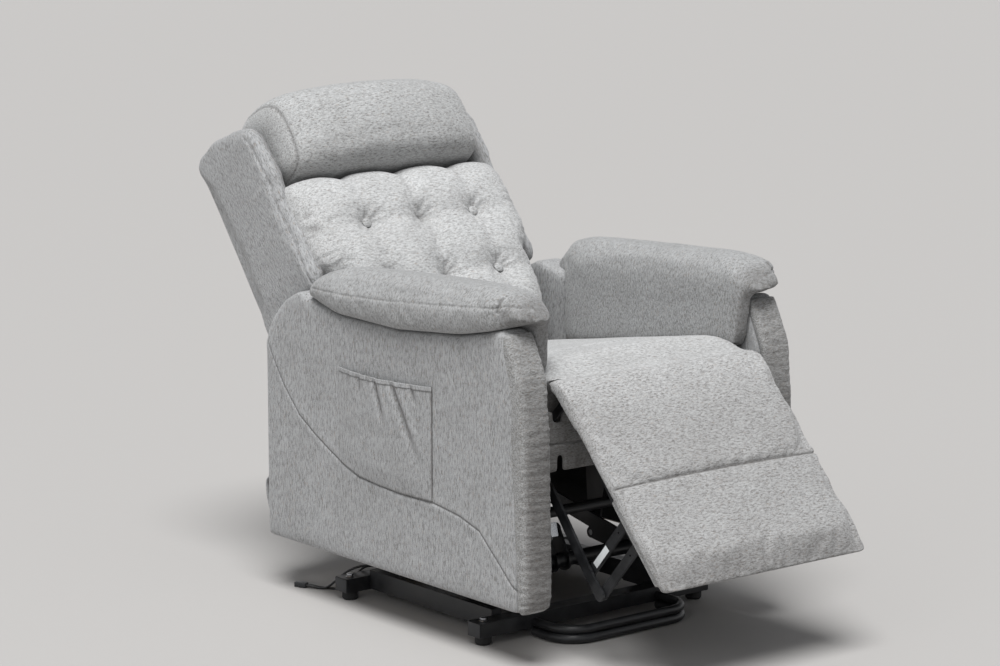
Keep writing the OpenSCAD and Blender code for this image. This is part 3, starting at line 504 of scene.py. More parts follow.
def slab(name: str, outline: Sequence[Point], low: float, high: float, rounding: float = 0.0,
         segments: int = 3, axes: str = "yz") -> Piece:
    """Extrudes an outline into a slab and rounds its edges.

    Args:
        name: The piece's name.
        outline: Corners in millimetres, in the plane of the two axes.
        low: Where the slab starts along the third axis, in millimetres.
        high: Where it ends.
        rounding: Edge radius in millimetres.
        segments: Faces round each edge.
        axes: The outline's plane, "yz", "xz" or "xy".

    Returns:
        The new piece.
    """
    order = {"yz": (2, 0, 1), "xz": (0, 2, 1), "xy": (0, 1, 2)}[axes]
    bm = bmesh.new()
    corners = [bm.verts.new(Vector([(q[0], q[1], low)[k] for k in order]) * MM) for q in outline]
    face = bm.faces.new(corners)
    moved = bmesh.ops.extrude_face_region(bm, geom=[face])
    way = Vector([(0, 0, high - low)[k] for k in order]) * MM
    bmesh.ops.translate(bm, vec=way, verts=[v for v in moved["geom"] if isinstance(v, bmesh.types.BMVert)])
    bmesh.ops.recalc_face_normals(bm, faces=bm.faces)
    if rounding:
        edges = [e for e in bm.edges if e.calc_face_angle(0.0) > math.radians(35)]
        bmesh.ops.bevel(bm, geom=edges, offset=rounding * MM, offset_type="OFFSET", segments=segments,
                        profile=0.5, affect="EDGES", clamp_overlap=True, material=-1)
    return as_piece(bm, name)


def turned(name: str, profile: Sequence[Point], centre: Vector, axis: Vector, steps: int = 24) -> Piece:
    """Spins a profile into a turned piece.

    Args:
        name: The piece's name.
        profile: Pairs of height along the axis and radius, in millimetres.
        centre: Where the profile's height is 0, in millimetres.
        axis: The turning axis.
        steps: Faces round the piece.

    Returns:
        The new piece.
    """
    bm = bmesh.new()
    points = [bm.verts.new((radius * MM, 0, height * MM)) for height, radius in profile]
    edges = [bm.edges.new(pair) for pair in zip(points, points[1:])]
    bmesh.ops.spin(bm, geom=points + edges, cent=(0, 0, 0), axis=(0, 0, 1), angle=math.tau, steps=steps,
                   use_merge=True)
    bmesh.ops.remove_doubles(bm, verts=bm.verts, dist=0.01 * MM)
    bmesh.ops.holes_fill(bm, edges=[e for e in bm.edges if e.is_boundary], sides=0)
    bmesh.ops.recalc_face_normals(bm, faces=bm.faces)
    stand_on(bm, centre, axis)
    return as_piece(bm, name, sharp=32.0)


def bake(piece: Piece) -> None:
    """Applies a piece's modifiers to its mesh."""
    depsgraph = bpy.context.evaluated_depsgraph_get()
    done = bpy.data.meshes.new_from_object(piece.evaluated_get(depsgraph), depsgraph=depsgraph)
    piece.modifiers.clear()
    old, piece.data = piece.data, done
    bpy.data.meshes.remove(old)
    shade_smooth(piece.data)


def soften(piece: Piece, voxel_mm: float, rounds: int = 3) -> None:
    """Remeshes a form evenly and relaxes its edges, as batting under cloth does.

    Args:
        piece: The form to remesh.
        voxel_mm: Size of the new faces.
        rounds: Times that each point moves halfway to its neighbours.
    """
    remesh = piece.modifiers.new("even", "REMESH")
    remesh.mode = "VOXEL"
    remesh.voxel_size = voxel_mm * MM
    bake(piece)
    bm = bmesh.new()
    bm.from_mesh(piece.data)
    for _ in range(rounds):
        bmesh.ops.smooth_vert(bm, verts=bm.verts, factor=0.5, use_axis_x=True, use_axis_y=True,
                              use_axis_z=True)
    bm.to_mesh(piece.data)
    bm.free()


def thicken(piece: Piece, thickness_mm: float) -> None:
    """Gives a sheet its thickness, half to each side."""
    wall = piece.modifiers.new("thickness", "SOLIDIFY")
    wall.thickness = thickness_mm * MM
    wall.offset = 0


def subdivide(piece: Piece) -> None:
    """Subdivides a cover once, smoothly."""
    surface = piece.modifiers.new("finer", "SUBSURF")
    surface.levels = surface.render_levels = 1
    bake(piece)


def inflate(piece: Piece, cap: Measure, held: Measure, pressure: float = 4.0, slack: float = 0.03,
            sink: float = 0.5) -> None:
    """Lets a cover swell over its filling by a cloth simulation, within a cap.

    Args:
        piece: An evenly meshed closed form.
        cap: Most that a point may move, in millimetres, by its place in millimetres.
        held: How firmly a point is sewn or stapled down, 0 to 1.
        pressure: Pressure inside the cover.
        slack: Share by which the cloth is cut larger than the form.
        sink: Share of the cap by which the form starts smaller.
    """
    mesh = piece.data
    inward = [vert.normal * (cap(vert.co / MM) * (1 - held(vert.co / MM)) * sink * MM)
              for vert in mesh.vertices]
    for vert, way in zip(mesh.vertices, inward):
        vert.co -= way
    mesh.update()
    start = [vert.co.copy() for vert in mesh.vertices]
    group = piece.vertex_groups.new(name="sewn")
    for vert in mesh.vertices:
        group.add([vert.index], held(vert.co / MM), "REPLACE")
    cloth = piece.modifiers.new("cover", "CLOTH")
    facts = cloth.settings
    facts.quality = 4
    facts.mass = 0.3
    facts.tension_stiffness = facts.compression_stiffness = 15
    facts.shear_stiffness = 8
    facts.bending_stiffness = 1.2
    facts.use_pressure = True
    facts.uniform_pressure_force = pressure
    facts.effector_weights.gravity = 0
    facts.shrink_min = -slack
    facts.vertex_group_mass = group.name
    facts.pin_stiffness = 1.0
    cloth.collision_settings.use_collision = False
    cloth.point_cache.frame_start, cloth.point_cache.frame_end = 1, CLOTH_FRAMES
    for number in range(1, CLOTH_FRAMES + 1):
        bpy.context.scene.frame_set(number)
    bake(piece)
    piece.vertex_groups.clear()
    bpy.context.scene.frame_set(1)
    for vert, first in zip(piece.data.vertices, start):
        way = vert.co - first
        most = cap(first / MM) * MM
        if way.length > most:
            vert.co = first + way * (most / way.length)
    piece.data.update()
    subdivide(piece)


def refine(piece: Piece, near: Callable[[Vector], bool], cuts: int = 1) -> None:
    """Gives a mesh finer faces where something is sewn.

    Args:
        piece: The piece to refine.
        near: Whether a place in millimetres needs finer faces.
        cuts: Cuts in each edge there.
    """
    bm = bmesh.new()
    bm.from_mesh(piece.data)
    edges = [e for e in bm.edges if near((e.verts[0].co + e.verts[1].co) / (2 * MM))]
    bmesh.ops.subdivide_edges(bm, edges=edges, cuts=cuts, use_grid_fill=True)
    bm.to_mesh(piece.data)
    bm.free()
    shade_smooth(piece.data)


def sculpt(piece: Piece, relief: Relief) -> None:
    """Moves each point of a cover and notes how much painted shade it gets.

    Args:
        piece: The piece to shape.
        relief: Gives the move in millimetres and the painted shade, 0 to 1, for a place in millimetres and its
            outward direction.
    """
    mesh = piece.data
    # Painted shade: each point keeps the strongest shade that any relief gives it.
    painted_shade = mesh.attributes.get("painted_shade") or mesh.attributes.new("painted_shade", "FLOAT", "POINT")
    moved = [relief(vert.co / MM, vert.normal.copy()) for vert in mesh.vertices]
    for vert, mark, (way, depth) in zip(mesh.vertices, painted_shade.data, moved):
        vert.co += way * MM
        mark.value = max(mark.value, min(max(depth, 0.0), 1.0))
    mesh.update()


def waves(p: Vector, size: float, stretch: tuple[float, float, float] = (1, 1, 1),
          seed: float = 0.0) -> float:
    """Soft unevenness of stuffed cloth, −1 to 1, at a place in millimetres.

    Args:
        p: The place.
        size: Width of a wave in millimetres.
        stretch: Factors on the place along each axis; under 1 lengthens the waves.
        seed: Picks another pattern.

    Returns:
        The height of the wave there.
    """
    q = Vector((p.x * stretch[0], p.y * stretch[1], p.z * stretch[2])) / size
    q += Vector((seed, seed * 1.7, -seed))
    return noise.noise(q) + 0.45 * noise.noise(q * 2.1)


@dataclass(frozen=True)
class Seam:
    """A sewn line across a cover, drawn in a flat projection."""

    line: tuple[Point, ...]
    axes: tuple[int, int] = (1, 2)
    width: float = 2.6
    depth: float = 3.0
    puff: float = 1.4
    reach: float = 16.0
    # Strength of the painted shade along the seam line.
    dark: float = 0.75
    where: Callable[[Vector], bool] = field(default=lambda p: True)

    @cached_property
    def bounds(self) -> tuple[float, float, float, float]:
        """Least and greatest coordinates of the line, with room for its reach."""
        (xs, ys), room = zip(*self.line), 2.5 * self.reach
        return min(xs) - room, max(xs) + room, min(ys) - room, max(ys) + room

    def distance(self, p: Vector) -> float:
        """Returns the distance in millimetres from a place to the seam."""
        x, y = p[self.axes[0]], p[self.axes[1]]
        x_low, x_high, y_low, y_high = self.bounds
        if not (x_low <= x <= x_high and y_low <= y <= y_high and self.where(p)):
            return 1e3
        least = 1e6
        for (x0, y0), (x1, y1) in zip(self.line, self.line[1:]):
            ux, uy = x1 - x0, y1 - y0
            t = min(max(((x - x0) * ux + (y - y0) * uy) / (ux * ux + uy * uy), 0.0), 1.0)
            least = min(least, (x - x0 - t * ux) ** 2 + (y - y0 - t * uy) ** 2)
        return math.sqrt(least)

    def near(self, p: Vector) -> bool:
        """Tells whether a place lies by the seam."""
        return self.distance(p) < 3.2 * self.width

    def relief(self, p: Vector) -> tuple[float, float]:
        """Height along the cover's outward direction, and painted shade along the seam line, at a place."""
        d = self.distance(p)
        if d > 4 * self.reach:
            return 0.0, 0.0
        cut = bell(d, self.width)
        swell = bell(d - self.reach * 0.6, self.reach * 0.5)
        return self.puff * swell - self.depth * cut, self.dark * bell(d, 0.8 * self.width)


def sew(piece: Piece, *seams: Seam, cuts: int = 2) -> None:
    """Sinks seams into a cover.

    Args:
        piece: The cover.
        seams: The seams to sink.
        cuts: Cuts in each edge by a seam.
    """
    refine(piece, lambda p: any(seam.near(p) for seam in seams), cuts)

    def relief(p: Vector, out: Vector) -> tuple[Vector, float]:
        """All the seams' heights together, and the strongest painted shade."""
        heights = [seam.relief(p) for seam in seams]
        return out * sum(h for h, _ in heights), max(c for _, c in heights)

    sculpt(piece, relief)


@dataclass
class Assembly:
    """A sub-assembly: it builds its own pieces and dresses its own CAD nodes."""

    def build(self) -> None:
        """Builds and dresses every piece."""
        raise NotImplementedError

    @staticmethod
    def dress(finish: Finish, *nodes: str) -> None:
        """Gives CAD nodes a finish.

        Args:
            finish: The finish.
            nodes: Names of the nodes.
        """
        for name in nodes:
            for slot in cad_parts[name].material_slots:
                slot.material = finish.material()
            LOG.info("dressed %s in %s", name, finish.name)

    @staticmethod
    def place(piece: Piece, body: str, slot: str, finish: Finish, stands_for: Sequence[str] = (),
              fill: float | None = None) -> Piece:
        """Finishes a piece and lets it ride.

        Args:
            piece: The piece.
            body: The body that it moves with.
            slot: The record's material slot; not used.
            finish: The piece's finish.
            stands_for: CAD nodes that it replaces.
            fill: How full it is, for a padded piece; not used.

        Returns:
            The same piece.
        """
        piece.data.materials.clear()
        piece.data.materials.append(finish.material())
        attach(piece, body)
        if stands_for:
            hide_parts(*stands_for)
        LOG.info("%s: %s on %s, %d points", piece.name, finish.name, body,
                 len(piece.data.vertices) if piece.type == "MESH" else 0)
        return piece

    @staticmethod
    def mirrored(piece: Piece, name: str) -> Piece:
        """Returns a copy of a piece for the other side of the chair.

        Args:
            piece: The piece to copy.
            name: The copy's name.
        """
        bm = bmesh.new()
        bm.from_mesh(piece.data)
        bmesh.ops.scale(bm, vec=(-1, 1, 1), verts=bm.verts)
        bmesh.ops.reverse_faces(bm, faces=bm.faces)
        return as_piece(bm, name)


# ---------- base, linkage and cords ----------


@dataclass
class LiftBase(Assembly):
    """Floor frame of square tube, toe loop, glides, lift motor, power box and its two leads."""

    upper_route: tuple[tuple[float, ...], ...] = (
        (-190, 214, 60), (-203, 214, 60), (-217, 219, 61), (-231, 231, 61), (-244, 246, 57), (-255, 262, 48),
        (-264, 277, 35), (-271, 291, 21), (-277, 303, 10), (-282, 313, 4), (-287, 322, 2.8), (-294, 332, 4),
        (-301.3, 341.2, 6), (-305, 348.2, 6))
    lower_route: tuple[tuple[float, ...], ...] = (
        (-190, 227, 60), (-199, 227, 60), (-213, 234, 58), (-225, 246, 54), (-234, 258, 42), (-242, 268, 27),
        (-249, 278, 14), (-256, 287, 5), (-265, 299, 2.8), (-273, 312, 2.8), (-281, 325, 2.8),
        (-288, 335, 3.8), (-295.1, 344.5, 6), (-298.9, 351.6, 6))
    lead_d: float = 5.0
    relief_d: float = 8.4
    plug_place: tuple[float, float, float] = (-302, 350, 1)
    plug_turn: float = 28.0
    cross_tubes: tuple[str, ...] = ("base_front_tube", "base_rear_tube")
    plug_inset: float = 0.4
    bolt_inset: float = 22.0

    def build(self) -> None:
        """Builds the leads with their plug first, then dresses the frame."""
        plug = self.plug()
        for route, name in ((self.upper_route, "upper"), (self.lower_route, "lower")):
            self.lead(route, name, plug)
        self.dress(PAINTED_STEEL, "base_front_tube", "base_rear_tube", "base_side_rails", "toe_loop",
                   "toe_loop_upper", "lift_base_brackets", "lift_motor_clevis")
        self.dress(ZINC_STEEL, "lift_base_pins")
        self.dress(BLACK_RUBBER, "foot_glides")
        self.dress(MOTOR_NYLON, "power_box")
        self.tube_plugs()
        self.loop_bolts()

    def plug(self) -> Piece:
        """Builds the flat two-way connector that both leads end in."""
        body = slab("power_plug", [(-8, 0), (8, 0), (8, 15), (5.4, 18), (5.4, 27.6), (-5.4, 27.6), (-5.4, 18),
                                   (-8, 15)], 0, 10, 1.0, 2, "xy")
        turn = Matrix.Rotation(math.radians(self.plug_turn), 4, "Z")
        body.data.transform(Matrix.Translation(Vector(self.plug_place) * MM) @ turn)
        return self.place(body, "base", "black_rubber", MOTOR_NYLON, ["power_lead_plug"])

    def lead(self, route: Sequence[Sequence[float]], name: str, plug: Piece) -> None:
        """Lays one lead along its route, with its strain relief.

        Args:
            route: Points in millimetres from the power box to the plug.
            name: Which lead it is.
            plug: The connector at its far end; not used.
        """
        line = smooth_line(route)
        points = [Vector(line(i / 39)) * MM for i in range(40)]
        curve = bpy.data.curves.new(f"lead_{name}", "CURVE")
        curve.dimensions = "3D"
        curve.bevel_depth = self.lead_d / 2 * MM
        curve.bevel_resolution = 4
        curve.use_fill_caps = True
        spline = curve.splines.new("POLY")
        spline.points.add(len(points) - 1)
        for point, place in zip(spline.points, points):
            point.co = (*place, 1)
        lead = bpy.data.objects.new(f"lead_{name}", curve)
        bpy.context.scene.collection.objects.link(lead)
        relief = self.relief(line, name)
        self.place(relief, "base", "black_rubber", BLACK_RUBBER)
        self.place(lead, "base", "black_rubber", LEAD_SHEATH, [f"power_lead_{name}"])
        length = sum((b - a).length for a, b in zip(points, points[1:]))
        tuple(points[0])

    def relief(self, line: Callable[[float], tuple], name: str) -> Piece:
        """Builds the tapered, ribbed sleeve where a lead leaves the power box.

        Args:
            line: The lead's route.
            name: Which lead it is.

        Returns:
            The sleeve.
        """
        def surface(u: float, v: float) -> Vector:
            """Wraps the sleeve round the route."""
            share = 0.015 + 0.1 * u
            here, ahead = Vector(line(share)), Vector(line(share + 0.01))
            along = (ahead - here).normalized()
            side = along.cross(Vector((0, 0, 1))).normalized()
            up = side.cross(along)
            rib = 0.35 * (1 - u) * math.sin(u * math.tau * 5)
            radius = self.lead_d / 2 + 0.25 + (self.relief_d - self.lead_d) / 2 * (1 - u) + rib
            angle = math.tau * v
            return here + (side * math.cos(angle) + up * math.sin(angle)) * radius

        return grid_skin(f"lead_{name}_relief", (30, 16), surface)

    def tube_plugs(self) -> None:
        """Closes the open ends of both cross tubes with moulded plugs."""
        for tube in self.cross_tubes:
            low, high = (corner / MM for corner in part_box(tube))
            rear, front = low.y + self.plug_inset, high.y - self.plug_inset
            foot, top = low.z + self.plug_inset, high.z - self.plug_inset
            corners = [(rear, foot), (front, foot), (front, top), (rear, top)]
            for side, word in ((-1, "right"), (1, "left")):
                face = high.x if side > 0 else low.x
                start, end = sorted((face + 0.2 * side, face + 2.4 * side))
                piece = slab(f"{tube}_plug_{word}", corners, start, end, 1.0, 3)
                self.place(piece, "base", "black_rubber", MOTOR_NYLON)

    def loop_bolts(self) -> None:
        """Sets the bolts that hold each glide under the cross tubes."""
        for tube in self.cross_tubes:
            low, high = (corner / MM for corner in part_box(tube))
            for x, word in ((low.x + self.bolt_inset, "right"), (high.x - self.bolt_inset, "left")):
                head = bolt_head(f"{tube}_bolt_{word}", Vector((x, (low.y + high.y) / 2, high.z + 0.1)),
                                 Vector((0, 0, 1)), 13, 5)
                self.place(head, "base", "bright_steel", ZINC_STEEL)


def bolt_head(name: str, seat: Vector, out: Vector, across: float, height: float) -> Piece:
    """Builds a flanged hexagon head.

    Args:
        name: The piece's name.
        seat: Middle of the face that it sits on, in millimetres.
        out: Outward direction.
        across: Width across the flats in millimetres.
        height: Height of the head in millimetres.

    Returns:
        The new piece.
    """
    bm = bmesh.new()
    bmesh.ops.create_cone(bm, cap_ends=True, segments=24, radius1=across * 0.68 * MM,
                          radius2=across * 0.56 * MM, depth=1.4 * MM,
                          matrix=Matrix.Translation((0, 0, 0.7 * MM)))
    hexagon = bmesh.ops.create_cone(bm, cap_ends=True, segments=6, radius1=across * 0.55 * MM,
                                    radius2=across * 0.55 * MM, depth=height * MM,
                                    matrix=Matrix.Translation((0, 0, (1.42 + height / 2) * MM)))
    rim = {e for v in hexagon["verts"] for e in v.link_edges}
    bmesh.ops.bevel(bm, geom=list(rim), offset=0.5 * MM, offset_type="OFFSET", segments=2, profile=0.5,
                    affect="EDGES", clamp_overlap=True, material=-1)
    stand_on(bm, seat, out)
    bmesh.ops.recalc_face_normals(bm, faces=bm.faces)
    return as_piece(bm, name)


@dataclass
class LiftLinkage(Assembly):
    """Four-bar lift linkage between the base and the seat, its crank and its actuator."""

    plate_out: float = 236.0
    rear_pivot: Point = (225, 176)
    front_pivot: Point = (38, 100)
    head_d: float = 20.0

    def build(self) -> None:
        """Dresses the links and adds the domed heads of their shoulder rivets."""
        self.dress(PAINTED_STEEL, "rear_lift_arms", "lift_torque_tube", "lift_crank", "front_lift_links",
                   "mechanism_side_plates", "mechanism_cross_tubes")
        self.dress(ZINC_STEEL, "lift_arm_pins", "chair_pivot_pins")
        self.dress(MOTOR_NYLON, "lift_motor")
        self.dress(GROUND_STEEL, "lift_ram")
        for (y, z), word in ((self.rear_pivot, "rear"), (self.front_pivot, "front")):
            for side, hand in ((1, "left"), (-1, "right")):
                piece = rivet_head(f"{word}_link_rivet_{hand}", Vector((side * (self.plate_out + 0.3), y, z)),
                                   Vector((side, 0, 0)), self.head_d, 5)
                self.place(piece, "chair", "bright_steel", ZINC_STEEL)


def rivet_head(name: str, seat: Vector, out: Vector, width: float, height: float) -> Piece:
    """Builds a domed rivet head.

    Args:
        name: The piece's name.
        seat: Middle of the face that it sits on, in millimetres.
        out: Outward direction.
        width: Diameter in millimetres.
        height: Height in millimetres.

    Returns:
        The new piece.
    """
    half = width / 2
    profile = [(0.0, 0.0), (0.0, half), (height * 0.3, half)]
    profile += [(height * (0.3 + 0.7 * math.sin(math.radians(a))), half * math.cos(math.radians(a)))
                for a in (20, 40, 60, 78)]
    return turned(name, [*profile, (height, 0.0)], seat, out)


# ---------- seat ----------


def run_strap(name: str, start: Vector, end: Vector, width: Vector, lift: Callable[[float], float],
              thickness: float = 1.4) -> Piece:
    """Lays a webbing strap that rises and dips where it crosses others.

    Args:
        name: The piece's name.
        start: Middle of one end, in millimetres.
        end: Middle of the other end.
        width: Half the width, as a direction.
        lift: Height in millimetres at a share of the length.
        thickness: Thickness in millimetres.

    Returns:
        The strap.
    """
    normal = (end - start).cross(width).normalized()
    normal = -normal if normal.z < 0 and abs(normal.z) > 0.3 else normal

    def surface(u: float, v: float) -> Vector:
        """Place on the strap's middle sheet."""
        return start + (end - start) * u + width * (2 * v - 1) + normal * lift(u)

    piece = grid_skin(name, (60, 4), surface, seal=False)
    thicken(piece, thickness)
    return piece


@dataclass
class SeatUnit(Assembly):
    """Seat frame, webbing, cushion and the front valance."""

    reach: float = 262.0
    deck: float = 444.3
    rear: float = 199.0
    rear_top: float = 486.0
    front: float = -371.0
    front_top: float = 576.0
    crown: float = 12.0
    side_seam: float = 236.0
    knee: Point = (-423, 520)
    knee_clear: float = 44.15
    middle: float = -90.0
    valance_reach: float = 282.6
    valance_face: float = -400.0

    def build(self) -> None:
        """Builds the webbing, cushion and valance and dresses the timber."""
        self.dress(PLYWOOD_SIDE, "seat_side_rails")
        self.dress(TIMBER_ACROSS, "seat_end_rails", "rear_bottom_rail")
        self.webbing()
        self.cushion()
        self.valance()

    def webbing(self) -> None:
        """Weaves the seat's elastic straps."""
        low, high = (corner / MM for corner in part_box("seat_webbing"))
        middle = (low.z + high.z) / 2
        for number, y in enumerate(range(-285, 116, 100)):
            piece = run_strap(f"seat_strap_across_{number}", Vector((low.x, y, middle)),
                              Vector((high.x, y, middle)), Vector((0, 25, 0)),
                              lambda u, n=number: 0.9 * math.cos(math.pi * (5.5 * u + n)), 1.2)
            self.place(piece, "chair", "webbing", WEBBING, ["seat_webbing"] if number == 0 else ())
        for number, x in enumerate(range(-170, 211, 95)):
            piece = run_strap(f"seat_strap_along_{number}", Vector((x, low.y, middle)),
                              Vector((x, high.y, middle)), Vector((25, 0, 0)),
                              lambda u, n=number: -0.9 * math.cos(math.pi * (5 * u + n)), 1.2)
            self.place(piece, "chair", "webbing", WEBBING)

    def cushion(self) -> None:
        """Builds the crowned seat cushion, whose front lip lies on the rolled top of the leg pad."""
        top = [(y, value_at(y, [(self.front, self.front_top), (-319, 573), (self.rear, self.rear_top)]))
               for y in (150, 85, 20, -45, -110, -175, -240, -305)]
        under = arc(self.knee, self.knee_clear, (91, 76, 60, 42, 22, 3))
        outline = smooth_line([(-366, self.deck), (-250, self.deck), (-100, self.deck), (50, self.deck),
                               (186, self.deck), (self.rear, self.deck + 12), (self.rear, self.rear_top - 16),
                               (188, self.rear_top - 4), *top, (-352, 577), (-385, 577), (-412, 577),
                               (-425, 575), (-429, 570), *under, (-375, 505), (-371, 470), (-370, 450)],
                              closed=True)

        def surface(u: float, v: float) -> Vector:
            """Outline drawn in towards both sides."""
            t = math.sin(math.pi * (u - 0.5))
            keep = drawn_in(t, 12)
            y, z = outline(v)
            if z > self.rear_top - 6:
                z += self.crown * (1 - t * t) * ease(y, -402, -330)
            p = Vector((t * self.reach, self.middle + (y - self.middle) * (0.985 + 0.015 * keep),
                        self.deck + (z - self.deck) * keep))
            arm = Vector((0, p.y - self.knee[0], p.z - self.knee[1]))
            if arm.length < self.knee_clear:
                p += arm.normalized() * (self.knee_clear - arm.length)
            return p

        piece = grid_skin("seat_cushion_cover", (64, 136), surface)
        soften(piece, 7.5, 2)

        def cap(p: Vector) -> float:
            """Free only on the top."""
            side = 1 - ease(abs(p.x), 240, 262)
            return 0.6 + 13 * side * ease(p.z, 470, 500) * ease(p.y, -380, -330) * (1 - ease(p.y, 120, 180))

        inflate(piece, cap, lambda p: 1 - ease(p.z, 455, 480), slack=0.015)

        def lip(p: Vector, out: Vector) -> tuple[Vector, float]:
            """Thins the front lip down onto the leg pad."""
            arm = Vector((0, p.y - self.knee[0], p.z - self.knee[1]))
            over = arm.length - self.knee_clear
            if p.z < 545 or over > 40:
                return Vector((0, 0, 0)), 0.0
            kept = max(over - 1.2, 0.0) * (1 - 0.93 * ease(-p.y, 362, 424)) - 2.2 * ease(-p.y, 404, 427)
            return arm.normalized() * ((kept - over) * ease(-p.y, 362, 395)), 0.0

        sculpt(piece, lip)
        # The seams get painted shade along their lines.
        side_seams = [Seam(((side * self.side_seam, -360), (side * (self.side_seam + 2), 210)), axes=(0, 1),
                           width=2.4, depth=1.6, puff=1.0, dark=0.3, where=lambda p: p.z > 480)
                      for side in (-1, 1)]
        cross_seam = Seam(((-250, -236), (-60, -243), (110, -238)), axes=(0, 1), width=3.4, depth=2.2, puff=1.6,
                          dark=0.3, where=lambda p: p.z > 500)
        sew(piece, *side_seams, cross_seam, cuts=1)

        def relief(p: Vector, out: Vector) -> tuple[Vector, float]:
            """Loose cloth drawn slightly lengthwise, with painted shade on the front face below the lip and on
            the top towards the knee.
            """
            rise = 1.1 * waves(p, 70, (1, 0.6, 0.3), 3.0) * max(out.z, 0) * ease(p.y, -410, -350)
            under = 0.8 * ease(-out.y, 0.1, 0.7) * (1 - ease(p.z, 530, 560)) * (1 - ease(p.y, -365, -340))
            return out * rise, max(under, 0.2 * (1 - ease(p.y, -425, -300)) * ease(p.z, 555, 570))

        sculpt(piece, relief)
        self.place(piece, "chair", "light_chenille", CHENILLE_SEAT, ["seat_cushion"], 0.7)

    def valance(self) -> None:
        """Builds the padded strip across the front of the seat frame, with its seam and its slots."""
        face, reach = self.valance_face, self.valance_reach
        outline = [(-reach, 374), (-232, 374), (-232, 407), (-219, 407), (-219, 374), (219, 374), (219, 407),
                   (232, 407), (232, 374), (reach, 374), (reach, 498), (243, 498), (243, 474), (222, 474),
                   (222, 498), (-222, 498), (-222, 474), (-243, 474), (-243, 498), (-reach, 498)]
        piece = slab("front_valance", outline, face + 0.6, face + 10.7, 3.5, 3, "xz")
        soften(piece, 4.5, 2)
        subdivide(piece)
        # The seam gets painted shade along its line.
        sew(piece, Seam(((-reach, 431), (reach, 431)), axes=(0, 2), width=2.4, depth=2.6, puff=0.8, dark=0.6,
                        where=lambda p: p.y < face + 5), cuts=1)

        def relief(p: Vector, out: Vector) -> tuple[Vector, float]:
            """Upright gathers under the seam, with painted shade over the whole strip, deeper in the gathers."""
            fold = waves(p, 26, (1, 0.2, 0.25), 8.0)
            return Vector((0, 0.9 * fold * ease(-out.y, 0.2, 0.8), 0)), 0.42 + 0.25 * ease(-fold, 0.2, 0.9)

        sculpt(piece, relief)
        self.place(piece, "chair", "shaded_chenille", CHENILLE_FACING, ["seat_valance"], 0.4)


# ---------- arms ----------


